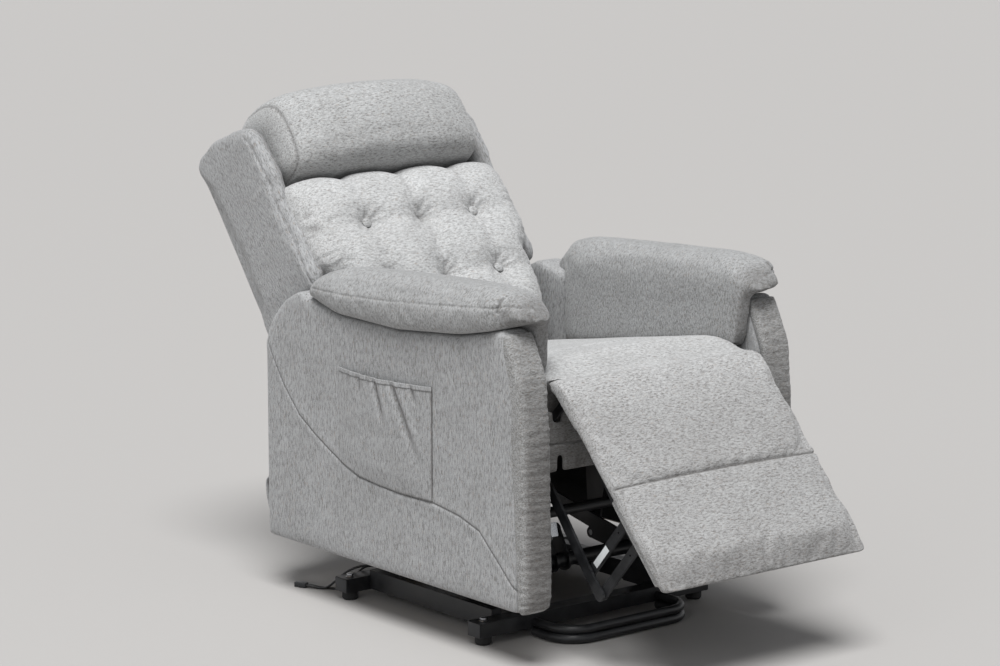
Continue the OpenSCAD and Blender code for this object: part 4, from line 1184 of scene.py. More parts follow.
@dataclass
class ArmUnit(Assembly):
    """One upholstered arm: padded side panel, front facing and stuffed arm pad."""

    side: int
    word: str
    inner: float = 283.0
    outer: float = 356.0
    foot: float = 112.0
    rear: float = 417.0
    facing: float = -420.0
    front: float = -454.2
    hinge: Point = (237, 470)
    corner_r: float = 192.0
    pad_top: float = 738.0
    pad_out: float = 380.0
    drape: float = 14.0
    padding: float = 39.0
    recess: tuple[tuple[float, ...], ...] = ((-400, -150, 322), (-342, 100, 505))
    top: tuple[Point, ...] = ((-371, 667), (-341, 658), (-248, 639), (-55, 621), (147, 623), (245, 641))
    curved_seam: tuple[Point, ...] = ((417, 552), (408, 534), (375, 487), (345, 447), (292, 392), (240, 362),
                                      (187, 336), (135, 314), (83, 297), (-52, 287), (-160, 288), (-246, 277),
                                      (-309, 258), (-371, 204), (-420, 156), (-448, 130))

    def build(self) -> None:
        """Builds the panel, facing and pad of this arm."""
        self.dress(PLYWOOD_SIDE, f"arm_board_{self.word}")
        self.panel()
        self.front_facing()
        self.pad()

    def hand(self, piece: Piece) -> Piece:
        """Returns the piece on this arm's side; shapes are drawn for the left arm."""
        if self.side > 0:
            return piece
        name = piece.name
        other = self.mirrored(piece, name + "_r")
        bpy.data.objects.remove(piece)
        other.name = name
        return other

    def panel(self) -> None:
        """Builds the side panel: taut cloth over board and batting, with its long curved seam."""
        front = self.facing + 0.3
        outline = [(self.rear, self.foot), *arc(self.hinge, self.corner_r, range(18, 73, 6)),
                   *reversed(self.top), (front, 563), (front, self.foot)]
        piece = self.hand(slab(f"side_cover_{self.word}", outline, self.inner, self.outer, 7, 3))
        soften(piece, 9, 2)
        subdivide(piece)
        # The curved seam gets painted shade along its line.
        seam = Seam(self.curved_seam, width=1.8, depth=2.0, puff=1.0, reach=14, dark=0.6,
                    where=lambda p: abs(p.x) > self.outer - 14)
        sew(piece, seam, cuts=2)
        hollow = self.side < 0
        low, high = self.recess

        def relief(p: Vector, out: Vector) -> tuple[Vector, float]:
            """Batting's swell, soft hollows and short drag lines from the facing seam, with painted shade in the
            drag lines' hollows.
            """
            if abs(p.x) < self.outer - 14 or abs(out.x) < 0.4:
                return Vector((0, 0, 0)), 0.0
            inside = ease(p.y, self.facing, self.facing + 60) * (1 - ease(p.y, 380, 417)) * ease(p.z, 112, 160)
            rise = 1.7 * inside + 0.9 * waves(p, 95, (0, 1, 0.7), 5.0 + self.side)
            drag = waves(p, 22, (0, 0.5, 1.6), 2.0) * (1 - ease(p.y, self.facing, self.facing + 46))
            step = Vector((self.side * (rise + 0.8 * drag) * ease(abs(out.x), 0.4, 0.9), 0, 0))
            if hollow and low[1] < p.y < high[1] and low[2] < p.z < high[2]:
                step.x = 0
            return step, 0.18 * ease(-drag, 0.25, 0.9)

        if hollow:
            self.hollow_out(piece)
        sculpt(piece, relief)
        self.place(piece, "chair", "light_chenille", CHENILLE_SIDE, [f"side_panel_{self.word}"], 0.5)
        # Painted shade: inner faces below the seat get the black sheet because they lie in shadow.
        piece.data.materials.append(PAINTED_SHADE_LINING.material())
        for face in piece.data.polygons:
            if face.normal.x * self.side < -0.8 and face.center.z < 0.44:
                face.material_index = 1

    def hollow_out(self, piece: Piece) -> None:
        """Cuts the recess behind the pocket out of the right panel with a box.

        Args:
            piece: The right side panel.
        """
        bm = bmesh.new()
        low, high = (Vector(corner) for corner in self.recess)
        bmesh.ops.create_cube(bm, size=1.0, matrix=Matrix.Translation((low + high) / 2 * MM)
                              @ Matrix.Diagonal((*((high - low) * MM), 1)))
        tool = as_piece(bm, "recess_tool")
        cut = piece.modifiers.new("recess", "BOOLEAN")
        cut.operation = "DIFFERENCE"
        cut.solver = "EXACT"
        cut.object = tool
        bake(piece)
        bpy.data.objects.remove(tool)

    def front_facing(self) -> None:
        """Builds the rounded facing from the foot of the arm up to the pad, with its short creases."""
        edge = smooth_line([(self.foot + 0.2, -430), (118, -440), (126, -449), (151, -454), (220, -453.2),
                            (340, -450), (464, -447), (500, -442.5), (540, -437), (575, -430), (606, -417),
                            (634, -403), (652, -390), (660, -379)])
        behind = ((563, self.facing), (571, -417.5), (611, -398), (661, -374))

        def surface(u: float, v: float) -> Vector:
            """Rounded half section that follows the sloping front of the arm."""
            z, y = edge(u)
            back = value_at(z, behind)
            depth = max(back - y, 0.6)
            r = min(22.0, depth)
            wall = self.outer - self.inner
            corner = [(r - r * math.cos(math.radians(a)), r * math.sin(math.radians(a)))
                      for a in range(0, 91, 15)]
            half = [(0.0, 0.0), *((x, depth - r + d) for x, d in corner), (wall * 0.35, depth),
                    (wall * 0.5, depth)]
            whole = half + [(wall - x, d) for x, d in reversed(half[:-1])]
            place = v * (len(whole) - 1)
            k = min(int(place), len(whole) - 2)
            x, d = (a + (b - a) * (place - k) for a, b in zip(whole[k], whole[k + 1]))
            return Vector((self.inner + x, back - d, z))

        piece = self.hand(grid_skin(f"arm_facing_{self.word}", (110, 36), surface))
        soften(piece, 5, 1)
        subdivide(piece)

        def relief(p: Vector, out: Vector) -> tuple[Vector, float]:
            """Level creases pressed into the pile, with painted shade in the creases and on the front faces,
            growing towards the bottom.
            """
            fold = waves(p, 17, (0.3, 0.5, 1.7), 11.0 + self.side)
            inside = ease(value_at(p.z, behind) - p.y, 4, 14)
            shade = (0.22 + 0.33 * ease(-p.z, -590, -380)) * ease(-out.y, 0.35, 0.95)
            return out * (1.6 * fold * inside), max(0.5 * ease(-fold, 0.1, 0.95) * inside, shade)

        sculpt(piece, relief)
        self.place(piece, "chair", "shaded_chenille", CHENILLE_FACING, [f"arm_front_{self.word}"], 0.5)

    def crest(self, y: float) -> float:
        """Height of the pad's top at a place along the arm."""
        top = self.pad_top
        return value_at(y, [(-427, top - 62), (-420, top - 46), (-405, top - 28), (-388, top - 15),
                            (-365, top - 5), (-341, top), (-230, top - 2), (-121, top - 6), (20, top - 14),
                            (112, top - 19), (160, top - 24), (200, top - 31), (236, top - 46),
                            (254, top - 64), (262, top - 80)])

    def section(self, y: float, full: float, outer: float, face: float) -> Callable[[float], tuple]:
        """Draws the pad's section across the arm.

        Args:
            y: Place along the arm.
            full: Share of the full height.
            outer: How far the pad reaches sideways.
            face: Where its inner face stands above the seat.

        Returns:
            The section as a closed line of (x, z).
        """
        seat = value_at(y, self.top) + 0.4
        low = max(seat, 667.3 + (-371 - y) * 0.3) if y < -371 else seat
        top = low + (self.crest(y) - low) * full
        mid = (low + top) / 2
        k = min(1.0, (top - low) / 48)
        inside = max(self.inner - 0.4, face + 3)
        drape = max(self.inner - self.drape, face)
        end = min(value_at(y, [(-403, 690), (-393, 650), (-385, 592), (-378, 566), (-352, 560), (-330, 494),
                               (195, 494), (217, 532), (250, 640)]), low - 5)
        rest = min(value_at(y, [(-400, 566), (-330, 566), (100, 503), (200, 486)]), low - 4)
        hang = max(end, rest)
        return smooth_line([(inside, low), ((inside + outer) / 2 - 6, low), (outer - 20, low + 1),
                            (outer - 5, low + 11 * k), (outer, mid), (outer - 5, top - 14 * k),
                            (outer - 24, top - 3 * k),
                            ((outer + face) / 2, top), (face + 26, top - 5 * k), (face + 7, top - 20 * k),
                            (face, mid - 4), (face, (mid + hang) / 2), (face, hang + 10),
                            (face + 4, hang + 1), (drape, max(hang - 4, end + 6)), (drape + 1, end + 6),
                            (drape + 6, end), (inside - 1, end + 2), (inside, (low + end) / 2)], closed=True)

    def pad(self) -> None:
        """Builds the stuffed pad: outer bolster, rounded nose and the thick drape down the inside."""
        reach, face = self.pad_out, self.inner - self.padding
        stations = smooth_line([(-427, 0.25, self.outer - 45, self.inner + 10),
                                (-424, 0.55, self.outer - 33, self.inner - 2),
                                (-416, 0.82, self.outer - 20, face + 26),
                                (-403, 0.95, self.outer - 10, face + 13), (-389, 1, self.outer - 6, face + 5),
                                (-376, 1, self.outer - 3, face + 1), (-369, 1, self.outer + 6, face),
                                (-362, 1, self.outer + 18, face), (-350, 1, reach - 2, face),
                                (-300, 1, reach, face), (-210, 1, reach, face), (-120, 1, reach, face + 1),
                                (-30, 1, reach, face + 4), (60, 1, reach - 2, face + 10),
                                (130, 1, reach - 4, face + 18), (176, 1, reach - 6, face + 26),
                                (203, 1, reach - 8, face + 42), (220, 1, reach - 10, face + 60),
                                (240, 0.95, reach - 14, face + 63), (254, 0.8, reach - 20, face + 66),
                                (262, 0.4, reach - 28, face + 74)])

        def surface(u: float, v: float) -> Vector:
            """Section by section along the arm."""
            y, full, outer, inner_face = stations(u)
            x, z = self.section(y, min(full, 1.0), outer, inner_face)(v)
            return Vector((x, y, z))

        piece = self.hand(grid_skin(f"arm_pad_cover_{self.word}", (120, 72), surface))
        soften(piece, 7.5, 2)

        def cap(p: Vector) -> float:
            """Free on the crown and the bolster."""
            crown = ease(p.z, value_at(p.y, self.top) + 8, value_at(p.y, self.top) + 34)
            return 1 + 6 * crown * ease(p.y, -400, -345) * (1 - ease(p.y, 190, 245)) * ease(abs(p.x), 255, 275)

        def held(p: Vector) -> float:
            """Sewn along the bolster's front end and stapled under."""
            notch = 0.7 * bell(p.y + 368, 5) * ease(abs(p.x), 335, 352)
            return max(notch, 1 - ease(p.z, value_at(p.y, self.top) + 2, value_at(p.y, self.top) + 14))

        inflate(piece, cap, held, slack=0.01)
        # The welt, end and nose seams get painted shade along their lines.
        welt = Seam(((236, 668), (112, 671), (-55, 680), (-200, 694), (-310, 704), (-362, 708)), width=1.7,
                    depth=1.1, puff=0.7, reach=12, dark=0.12, where=lambda p: abs(p.x) > 352)
        end_seam = Seam(((-369, 700), (-370, 715), (-367, 724)), width=2.2, depth=2.4, puff=1.2, reach=10,
                        dark=0.5, where=lambda p: abs(p.x) > 332)
        nose_seam = Seam(((-362, 708), (-384, 711), (-402, 709), (-418, 700)), width=1.8, depth=1.4, puff=0.8,
                         reach=9, dark=0.35, where=lambda p: abs(p.x) > 300 and p.y < -360)
        sew(piece, welt, end_seam, nose_seam, cuts=1)

        def relief(p: Vector, out: Vector) -> tuple[Vector, float]:
            """Fine gathers at the nose, soft hollows on the crown and drag lines at the drape, with painted shade
            on the nose's front and underside and in the gathers.
            """
            front = 1 - ease(p.y, -395, -340)
            gather = waves(p, 19, (1.0, 0.5, 0.45), 4.0 + self.side) * front
            lower = (1 - ease(p.z, 590, 670)) * ease(-out.x * self.side, 0.3, 0.8)
            drag = waves(p, 34, (0.2, 1.2, 0.35), 6.0 - self.side) * lower
            soft = 1.3 * waves(p, 85, (0.6, 0.8, 0.5), 1.0 + self.side) * ease(out.z, 0.1, 0.7)
            under = max(0.2, 0.5 * ease(-out.z, 0.1, 0.8),
                        0.42 * ease(-out.y, 0.2, 0.8)) * (1 - ease(p.y, -384, -366))
            return out * (0.9 * gather + 0.7 * drag + soft), max(0.16 * ease(-gather, 0.3, 0.9), under)

        sculpt(piece, relief)
        self.place(piece, "chair", "light_chenille", CHENILLE_ARM, [f"arm_pad_{self.word}"], 0.75)


@dataclass
class SidePocket(Assembly):
    """Gathered pocket sewn on the right arm panel, with its hem."""

    face: float = -356.3
    cloth: float = 2.0
    swell: float = 11.0
    hem: float = 8.0
    hem_cloth: float = 1.1
    front: float = -161.0
    length: float = 310.0
    height: float = 215.0
    mouth: tuple[Point, ...] = ((-161, 522), (-80, 518), (13, 514), (85, 515), (149, 517))
    bottom: tuple[Point, ...] = ((-160, 290.5), (-106, 290), (-52, 289.5), (16, 293), (83, 299.5), (120, 311),
                                 (149, 322))
    gathers: tuple[tuple[float, float, float, float, float], ...] = (
        (0.21, 4.5, 0.024, 0.76, 0.35), (0.41, 7.5, 0.034, 0.22, 0.40), (0.59, 6.5, 0.030, 0.50, 0.26),
        (0.66, 2.5, 0.016, 0.86, 0.20), (0.76, 4.0, 0.026, 0.74, 0.10), (0.88, 2.0, 0.022, 0.80, 0.05))

    def surface(self, u: float, v: float) -> Vector:
        """Place on the pocket's outer face.

        Args:
            u: Share from the front seam to the rear seam.
            v: Share from the lower seam to the mouth.

        Returns:
            The place in millimetres.
        """
        y = self.front + self.length * u
        low, high = value_at(y, self.bottom), value_at(y, self.mouth)
        belly = math.sin(math.pi * min(max(u, 0.0), 1.0)) ** 0.55
        out = self.swell * belly * min(1.0, v / 0.16) ** 0.6 * (0.5 + 0.5 * v ** 0.8)
        for centre, depth, width, foot, lean in self.gathers:
            slant = centre - lean * (1 - v)
            fade = ease(v, foot, foot + 0.4 * (1 - foot) + 0.1) if v < 0.95 else 1 - 0.5 * ease(v, 0.95, 1.0)
            out -= depth * fade * bell(u - slant, width)
            out += 0.3 * depth * fade * bell(u - slant + 2 * width, width)
        out += 0.8 * belly * noise.noise(Vector((u * 9, v * 6, 2.5)))
        out = math.log(1 + math.exp(out)) if out < 8 else out
        return Vector((self.face - self.cloth - out * min(1.0, 8 * belly), y, low + (high - low) * v))

    def build(self) -> None:
        """Builds the pocket cloth and its hem, with painted shade along its seams, at the foot of the hem and in
        its gathers.
        """
        pocket = grid_skin("pocket_cloth", (150, 90), self.surface, seal=False)
        # Painted shade: the point attribute darkens the front, rear and lower seams, the gather folds and the
        # foot of the hem.
        painted_shade = pocket.data.attributes.new("painted_shade", "FLOAT", "POINT")
        for vert, mark in zip(pocket.data.vertices, painted_shade.data):
            p = vert.co / MM
            u = (p.y - self.front) / self.length
            v = (p.z - value_at(p.y, self.bottom)) / (value_at(p.y, self.mouth) - value_at(p.y, self.bottom))
            front = 0.9 * bell(u, 0.007)
            rear = 0.25 * bell(u - 1, 0.008)
            lower = 0.5 * bell(v, 0.012)
            fold = max(0.5 * ease(v, g[3], g[3] + 0.4 * (1 - g[3]) + 0.1)
                       * bell(u - g[0] + g[4] * (1 - v), g[2] * 0.75) for g in self.gathers)
            mouth = 0.35 * bell(v - 1 + self.hem / self.height, 0.014)
            mark.value = max(front, rear, lower, fold, mouth)
        thicken(pocket, self.cloth)

        def band(u: float, v: float) -> Vector:
            """Hem just outside the pocket's mouth."""
            p = self.surface(u, 1 - self.hem / self.height * (1 - v))
            return p + Vector((-self.cloth * 0.5 - 0.65, 0, 0.2 * v))

        hem = grid_skin("pocket_hem", (150, 6), band, seal=False)
        thicken(hem, self.hem_cloth)
        self.place(hem, "chair", "light_chenille", CHENILLE_SIDE)
        self.place(pocket, "chair", "light_chenille", CHENILLE_SIDE, ["side_pocket"])


@dataclass
class HandControl(Assembly):
    """Wired hand control that stands in the pocket, with four domed push buttons."""

    back: float = -342.0
    middle: float = -45.0
    foot: float = 322.0
    width: float = 50.0
    height: float = 150.0
    thickness: float = 18.0
    button_d: float = 15.0
    proud: float = 2.0
    rows: tuple[tuple[str, float], ...] = (("upright", 44), ("recline", 72), ("lower", 100), ("raise", 128))

    def build(self) -> None:
        """Builds the body and the buttons, each button on its own body."""
        face = self.back - self.thickness
        low, high = self.middle - self.width / 2, self.middle + self.width / 2
        outline = [(low, self.foot), (high, self.foot), (high, self.foot + self.height),
                   (low, self.foot + self.height)]
        body = slab("hand_control", outline, face, self.back, 3.2, 4)
        self.place(body, "chair", "handset_plastic", HANDSET_ABS, ["handset"])
        half = self.button_d / 2
        for name, rise in self.rows:
            profile = [(-2.4, 0.0), (-2.4, half - 0.2), (self.proud - 0.9, half - 0.2),
                       (self.proud - 0.35, half - 0.55), (self.proud - 0.05, half - 1.6),
                       (self.proud, half - 3.6), (self.proud - 0.25, 0.0)]
            button = turned(f"push_button_{name}", profile, Vector((face, self.middle, self.foot + rise)),
                            Vector((-1, 0, 0)), 28)
            self.place(button, f"button_{name}", "button_plastic", BUTTON_ABS, [f"button_{name}"])


# ---------- back ----------


@dataclass
class BackUnit(Assembly):
    """Reclining back: hinge arms, timber frame, webbing, winged shell, head pillow and tufted cushion."""

    hinge: tuple[float, float, float] = (0, 237, 470)
    lean: float = 38.0
    wing_in: float = 262.0
    shell_reach: float = 300.0
    wing_r: float = 196.0
    shell_rear: float = 174.0
    shell_wall: float = 28.0
    shell_top: float = 636.0
    wing_edge: tuple[Point, ...] = ((-65, 215), (-66, 300), (-55, 391), (-67, 469), (-60, 560), (-44, 590),
                                    (-2, 610), (82, 636), (150, 634), (168, 626), (174, 604), (174, 150))
    cushion_back: float = 55.7
    strap_reach: float = 228.5
    strap_back: float = 57.0
    pillow_reach: float = 257.0
    pillow_seam: float = 240.0
    lumbar_reach: float = 256.0
    bulge: float = 27.0
    tuft_columns: tuple[float, ...] = (-143, 0, 143)
    tuft_rows: tuple[float, ...] = (300, 157)
    cushion_face: float = -126.0
    tuft_depth: float = 33.02
    button_d: float = 22.0

    @property
    def stand(self) -> Matrix:
        """Place and lean of the back, in metres."""
        return Matrix.Translation(Vector(self.hinge) * MM) @ Matrix.Rotation(math.radians(-self.lean), 4, "X")

    def build(self) -> None:
        """Builds the webbing, shell, pillow and tufted cushion and dresses the frame."""
        self.dress(PAINTED_STEEL, "back_hinge_arms")
        self.dress(TIMBER_UPRIGHT, "back_uprights")
        self.dress(TIMBER_ACROSS, "back_rails")
        self.dress(MOTOR_NYLON, "recline_motor")
        self.dress(GROUND_STEEL, "recline_ram")
        self.webbing()
        self.shell()
        self.pillow()
        self.lumbar()
        self.buttons()

    def webbing(self) -> None:
        """Stretches the back's elastic straps over the uprights."""
        for number, z in enumerate(range(95, 576, 80)):
            piece = run_strap(f"back_strap_{number}", Vector((-self.strap_reach, self.strap_back, z)),
                              Vector((self.strap_reach, self.strap_back, z)), Vector((0, 0, 25)),
                              lambda u: 0.25 * math.cos(math.tau * 3 * u), 1.5)
            piece.data.transform(self.stand)
            self.place(piece, "back", "webbing", WEBBING, ["back_webbing"] if number == 0 else ())

    def shell(self) -> None:
        """Builds the winged shell as one cover: two wings, the rear panel and the top roll."""
        wing = [*self.wing_edge, *arc((0, 0), self.wing_r, range(50, 109, 6))]
        rear_in = self.shell_rear - self.shell_wall
        parts = [slab("wing_left", wing, self.wing_in, self.shell_reach, 11, 3),
                 slab("wing_right", wing, -self.shell_reach, -self.wing_in, 11, 3)]
        rear = [(rear_in, 150), (self.shell_rear, 150), (self.shell_rear, 604), (168, 624),
                (150, self.shell_top - 2), (74, self.shell_top), (74, self.shell_top - 34),
                (rear_in, self.shell_top - 36)]
        parts.append(slab("rear_panel", rear, -self.wing_in - 14, self.wing_in + 14, 0, 1))
        bm = bmesh.new()
        for part in parts:
            bm.from_mesh(part.data)
            bpy.data.objects.remove(part)
        shell = as_piece(bm, "back_cover")
        soften(shell, 9, 4)

        def cap(p: Vector) -> float:
            """Free on the outer sides, the rear and the top."""
            side = ease(abs(p.x), 288, 298) * ease(p.z, 215, 260) * (1 - ease(p.z, 560, 610))
            rear_free = ease(p.y, 166, 173) * ease(p.z, 170, 240)
            return 0.8 + 5 * side + 5 * rear_free * (1 - side)

        inflate(shell, cap, lambda p: 1 - max(ease(abs(p.x), 280, 292), ease(p.y, 160, 172)), slack=0.02,
                sink=0.3)
        # The wing seam gets painted shade along its line.
        sew(shell, Seam(((-44, 205), (-47, 300), (-38, 391), (-47, 469), (-41, 552), (-30, 574)), width=2.6,
                        depth=1.4, puff=0.7, reach=11, dark=0.16, where=lambda p: abs(p.x) > 290), cuts=1)

        def relief(p: Vector, out: Vector) -> tuple[Vector, float]:
            """Short pulls from the wing's front seam, long soft hollows elsewhere, with painted shade in the
            pulls and on the wing's front near its inner edge.
            """
            edge = (1 - ease(p.y, -60, 40)) * ease(abs(out.x), 0.2, 0.8)
            pull = waves(p, 19, (0.4, 0.5, 1.5), 9.0) * edge * ease(p.z, 230, 300)
            soft = 1.2 * waves(p, 110, (0.8, 0.8, 0.6), 7.0) * ease(max(abs(out.x), out.y), 0.3, 0.9)
            inner = 0.25 if abs(p.x) < self.wing_in + 3 and p.y < 60 else 1.0
            shade = 0.42 * (1 - ease(abs(p.x), self.wing_in + 4, self.wing_in + 26)) * ease(-out.y, 0.1, 0.7)
            return out * ((1.5 * pull + soft) * inner), max(0.3 * ease(-pull, 0.25, 0.9), shade)

        sculpt(shell, relief)
        shell.data.transform(self.stand)
        self.place(shell, "back", "light_chenille", CHENILLE_SHELL, ["back_shell"], 0.5)

    def pillow(self) -> None:
        """Builds the head pillow: crowned front panel between two flat gussets."""
        outline = smooth_line([(self.cushion_back, 452), (self.cushion_back, 530), (self.cushion_back, 604),
                               (60, 630), (54, 650), (26, 661), (-20, 661), (-68, 653), (-108, 639),
                               (-138, 619), (-152, 592), (-158, 560), (-158, 528), (-154, 496), (-145, 467),
                               (-112, 447), (-20, 445.5), (20, 447)], closed=True)
        centre = Vector((0, 20, 520))

        def surface(u: float, v: float) -> Vector:
            """Outline, crowned towards the middle."""
            t = math.sin(math.pi * (u - 0.5))
            keep = drawn_in(t, 7)
            crown = keep * (1 - 0.2 * t * t)
            y, z = outline(v)
            return Vector((t * self.pillow_reach, centre.y + (y - centre.y) * (crown if y < 0 else keep),
                           centre.z + (z - centre.z) * keep * (1.03 - 0.06 * t * t)))

        piece = grid_skin("head_pillow_cover", (64, 110), surface)
        soften(piece, 8, 2)

        def cap(p: Vector) -> float:
            """Free on the front panel, less at its ends and under it."""
            return 1.5 * (1 - ease(abs(p.x), 205, 246)) * ease(-p.y, -40, 60)

        def held(p: Vector) -> float:
            """Stapled behind, sewn along both gussets."""
            gusset = 0.9 * bell(abs(p.x) - self.pillow_seam - 8, 7)
            return max(ease(p.y, 30, 45), gusset)

        inflate(piece, cap, held, slack=0.006)

        def near(p: Vector) -> bool:
            """Whether a place lies by a gusset seam."""
            return abs(abs(p.x) - self.pillow_seam) < 8 and p.y < 40

        refine(piece, near, 1)

        def relief(p: Vector, out: Vector) -> tuple[Vector, float]:
            """Gusset seams with their gathers, and the soft crown, with painted shade in the seams, in the
            gathers and faintly along the lower part.
            """
            inward = self.pillow_seam - abs(p.x)
            front = ease(-p.y, -40, 0)
            cut = bell(inward, 2.4) * front
            puff = bell(inward - 9, 7) * front
            gather = waves(p, 14, (0.3, 1.1, 1.1), 12.0) * math.exp(-max(inward, 0) / 34) * front
            gather *= 0.35 if inward < -2 else 1.0
            soft = 1.6 * waves(p, 70, (0.7, 1, 1), 13.0) * front
            tuck = waves(p, 26, (1.2, 0.4, 0.4), 14.0) * (1 - ease(p.z, 470, 530)) * front
            under = 0.06 * (1 - ease(p.z, 450, 500)) * front
            height = 1.4 * puff - 2.0 * cut + 1.8 * gather + soft + 1.4 * tuck
            return out * height, max(0.4 * cut, 0.22 * ease(-gather, 0.2, 0.9), under)

        sculpt(piece, relief)
        piece.data.transform(self.stand)
        self.place(piece, "back", "light_chenille", CHENILLE_BACK, ["head_pillow"], 0.85)

    def valley(self, p: Vector) -> tuple[float, float]:
        """Nearness to a tuft, and to the soft valleys that join the tufts, each 0 to 1."""
        column = min(abs(p.x - c) for c in self.tuft_columns)
        row = min(abs(p.z - r) for r in self.tuft_rows)
        distance = math.hypot(column, row)
        spot = bell(distance, 26, 1.5)
        fade = 0.42 + 0.58 * bell(distance, 62)
        upright = bell(column, 19, 1.4) * fade
        level = bell(row, 19, 1.4) * fade * (1 - 0.4 * ease(abs(p.x), 200, 250))
        return spot, max(upright, level)

    def lumbar(self) -> None:
        """Builds the biscuit-tufted back cushion, fuller over the wings at its shoulders."""
        outline = smooth_line([(self.cushion_back, 26), (self.cushion_back, 120), (self.cushion_back, 250),
                               (self.cushion_back, 380), (self.cushion_back, 428), (20, 440), (-20, 441),
                               (-62, 438), (-94, 426), (-114, 401), (-123, 366), (-126, 335), (-126, 300),
                               (-126, 256), (-126, 200), (-126, 157), (-123, 120), (-118, 84), (-108, 50),
                               (-84, 29), (-50, 20.5), (0, 20.5)], closed=True)
        centre = Vector((0, 40, 230))

        def surface(u: float, v: float) -> Vector:
            """Outline drawn in at both sides, pulled in at the tufts and along the valleys."""
            t = math.sin(math.pi * (u - 0.5))
            keep = drawn_in(t, 6)
            y, z = outline(v)
            shoulder = self.bulge * ease(-y, 62, 86) * ease(z, 185, 250)
            p = Vector((t * (self.lumbar_reach + shoulder), centre.y + (y - centre.y) * keep,
                        centre.z + (z - centre.z) * (0.985 + 0.015 * keep if z > 230 else keep)))
            if y < -40:
                spot, soft = self.valley(p)
                p.y += keep * max(self.tuft_depth * spot, 10 * soft)
                scallop = min(abs(p.x - c) for c in self.tuft_columns)
                p.z -= 9 * bell(scallop, 24, 1.4) * ease(p.z, 395, 435)
            return p

        piece = grid_skin("lumbar_cover", (96, 136), surface)
        soften(piece, 7.5, 1)

        def cap(p: Vector) -> float:
            """Free on the face between the tufts."""
            spot, _ = self.valley(p)
            edge = (1 - ease(abs(p.x), 236, 262) * (1 - ease(-p.y, 70, 90))) * ease(p.z, 40, 90)
            return 1 + 6 * (1 - 0.95 * spot) * ease(-p.y, 20, 90) * edge * (1 - 0.8 * ease(p.z, 422, 440))

        def held(p: Vector) -> float:
            """Tied at the tufts, stapled behind."""
            spot, soft = self.valley(p)
            return max(ease(p.y, -10, 10), spot ** 2, 0.35 * soft if p.y < -40 else 0.0)

        inflate(piece, cap, held, slack=0.015)
        refine(piece, lambda p: p.y < -50 and (self.valley(p)[0] > 0.25 or abs(p.x) > 205), 1)

        def relief(p: Vector, out: Vector) -> tuple[Vector, float]:
            """Fine puckers that run out from each tuft, gathers at both sides and a few soft folds, with painted
            shade at the tufts, along the valley lines, in the folds and between the puckers.
            """
            face = ease(-p.y, 30, 80)
            spot, valley = self.valley(p)
            column = min(self.tuft_columns, key=lambda c: abs(p.x - c))
            row = min(self.tuft_rows, key=lambda r: abs(p.z - r))
            angle = math.atan2(p.z - row, p.x - column)
            distance = math.hypot(p.z - row, p.x - column)
            twist = 3 * noise.noise(Vector((column, row, 0.5)) / 50)
            rays = math.cos(angle * 8 + twist) * bell(distance - 28, 17)
            side = ease(abs(p.x), 208, 254) * (1 - ease(p.z, 330, 425))
            fold = waves(p, 20, (0.35, 0.5, 1.25), 21.0) * side
            line = bell(min(abs(p.x - column), abs(p.z - row)), 3.0) * bell(distance, 46)
            soft = waves(p, 46, (0.8, 1, 1), 15.0)
            height = 1.2 * rays - 2.2 * line + 1.4 * soft + 2.6 * fold
            painted_shade = max(0.28 * line, 0.5 * spot ** 3, 0.3 * ease(-fold, 0.15, 0.8), 0.12 * ease(-rays, 0.2, 0.9))
            return out * (height * face), face * painted_shade

        sculpt(piece, relief)
        piece.data.transform(self.stand)
        self.place(piece, "back", "light_chenille", CHENILLE_SEAT, ["lumbar_cushion"], 0.8)

    def buttons(self) -> None:
        """Sets the cloth-covered buttons in the outer tufts."""
        half = self.button_d / 2
        profile = [(0.0, 0.0), (0.0, 2.6), (4.6, 2.6), (4.8, half - 1.6), (5.8, half - 0.3),
                   (7.0, half - 0.1), (8.4, half - 1.2), (9.8, half - 3.4), (10.8, half - 6.4), (11.2, 0.0)]
        first = True
        for number, row in enumerate(self.tuft_rows):
            for column in (self.tuft_columns[0], self.tuft_columns[-1]):
                floor_y = self.cushion_face + self.tuft_depth - 3.4
                piece = turned(f"tuft_button_{number}_{'left' if column > 0 else 'right'}", profile,
                               Vector((column, floor_y, row)), Vector((0, -1, 0)), 28)
                piece.data.transform(self.stand)
                self.place(piece, "back", "light_chenille", CHENILLE_BACK, ["tuft_buttons"] if first else ())
                first = False


@dataclass
class RearSkirt(Assembly):
    """Slack cloth behind the seat, from the bottom rail up to the back."""

    reach: float = 322.0
    cloth: float = 2.4
    spine: tuple[Point, ...] = ((419.2, 122), (438, 133), (464, 150), (484, 190), (489, 250), (489, 310),
                                (480, 365), (472, 398))

    def build(self) -> None:
        """Hangs the skirt in soft upright folds."""
        line = smooth_line(self.spine)

        def surface(u: float, v: float) -> Vector:
            """Spine pushed out in folds that deepen at mid height."""
            y, z = line(v)
            x = self.reach * (2 * u - 1)
            belly = math.sin(math.pi * v)
            fold = 4.5 * math.cos(math.radians(x * 1.9)) + 2.0 * noise.noise(Vector((x / 60, z / 160, 1.5)))
            edge = ease(abs(x), 215, 315)
            y += belly * fold * (1 - edge)
            return Vector((x, y - (y - 423) * edge * max(ease(z, 185, 270), 0.3), z))

        piece = grid_skin("skirt_cloth", (120, 48), surface, seal=False)
        thicken(piece, self.cloth)
        self.place(piece, "chair", "light_chenille", CHENILLE_SIDE, ["rear_skirt"])


# ---------- footrest ----------


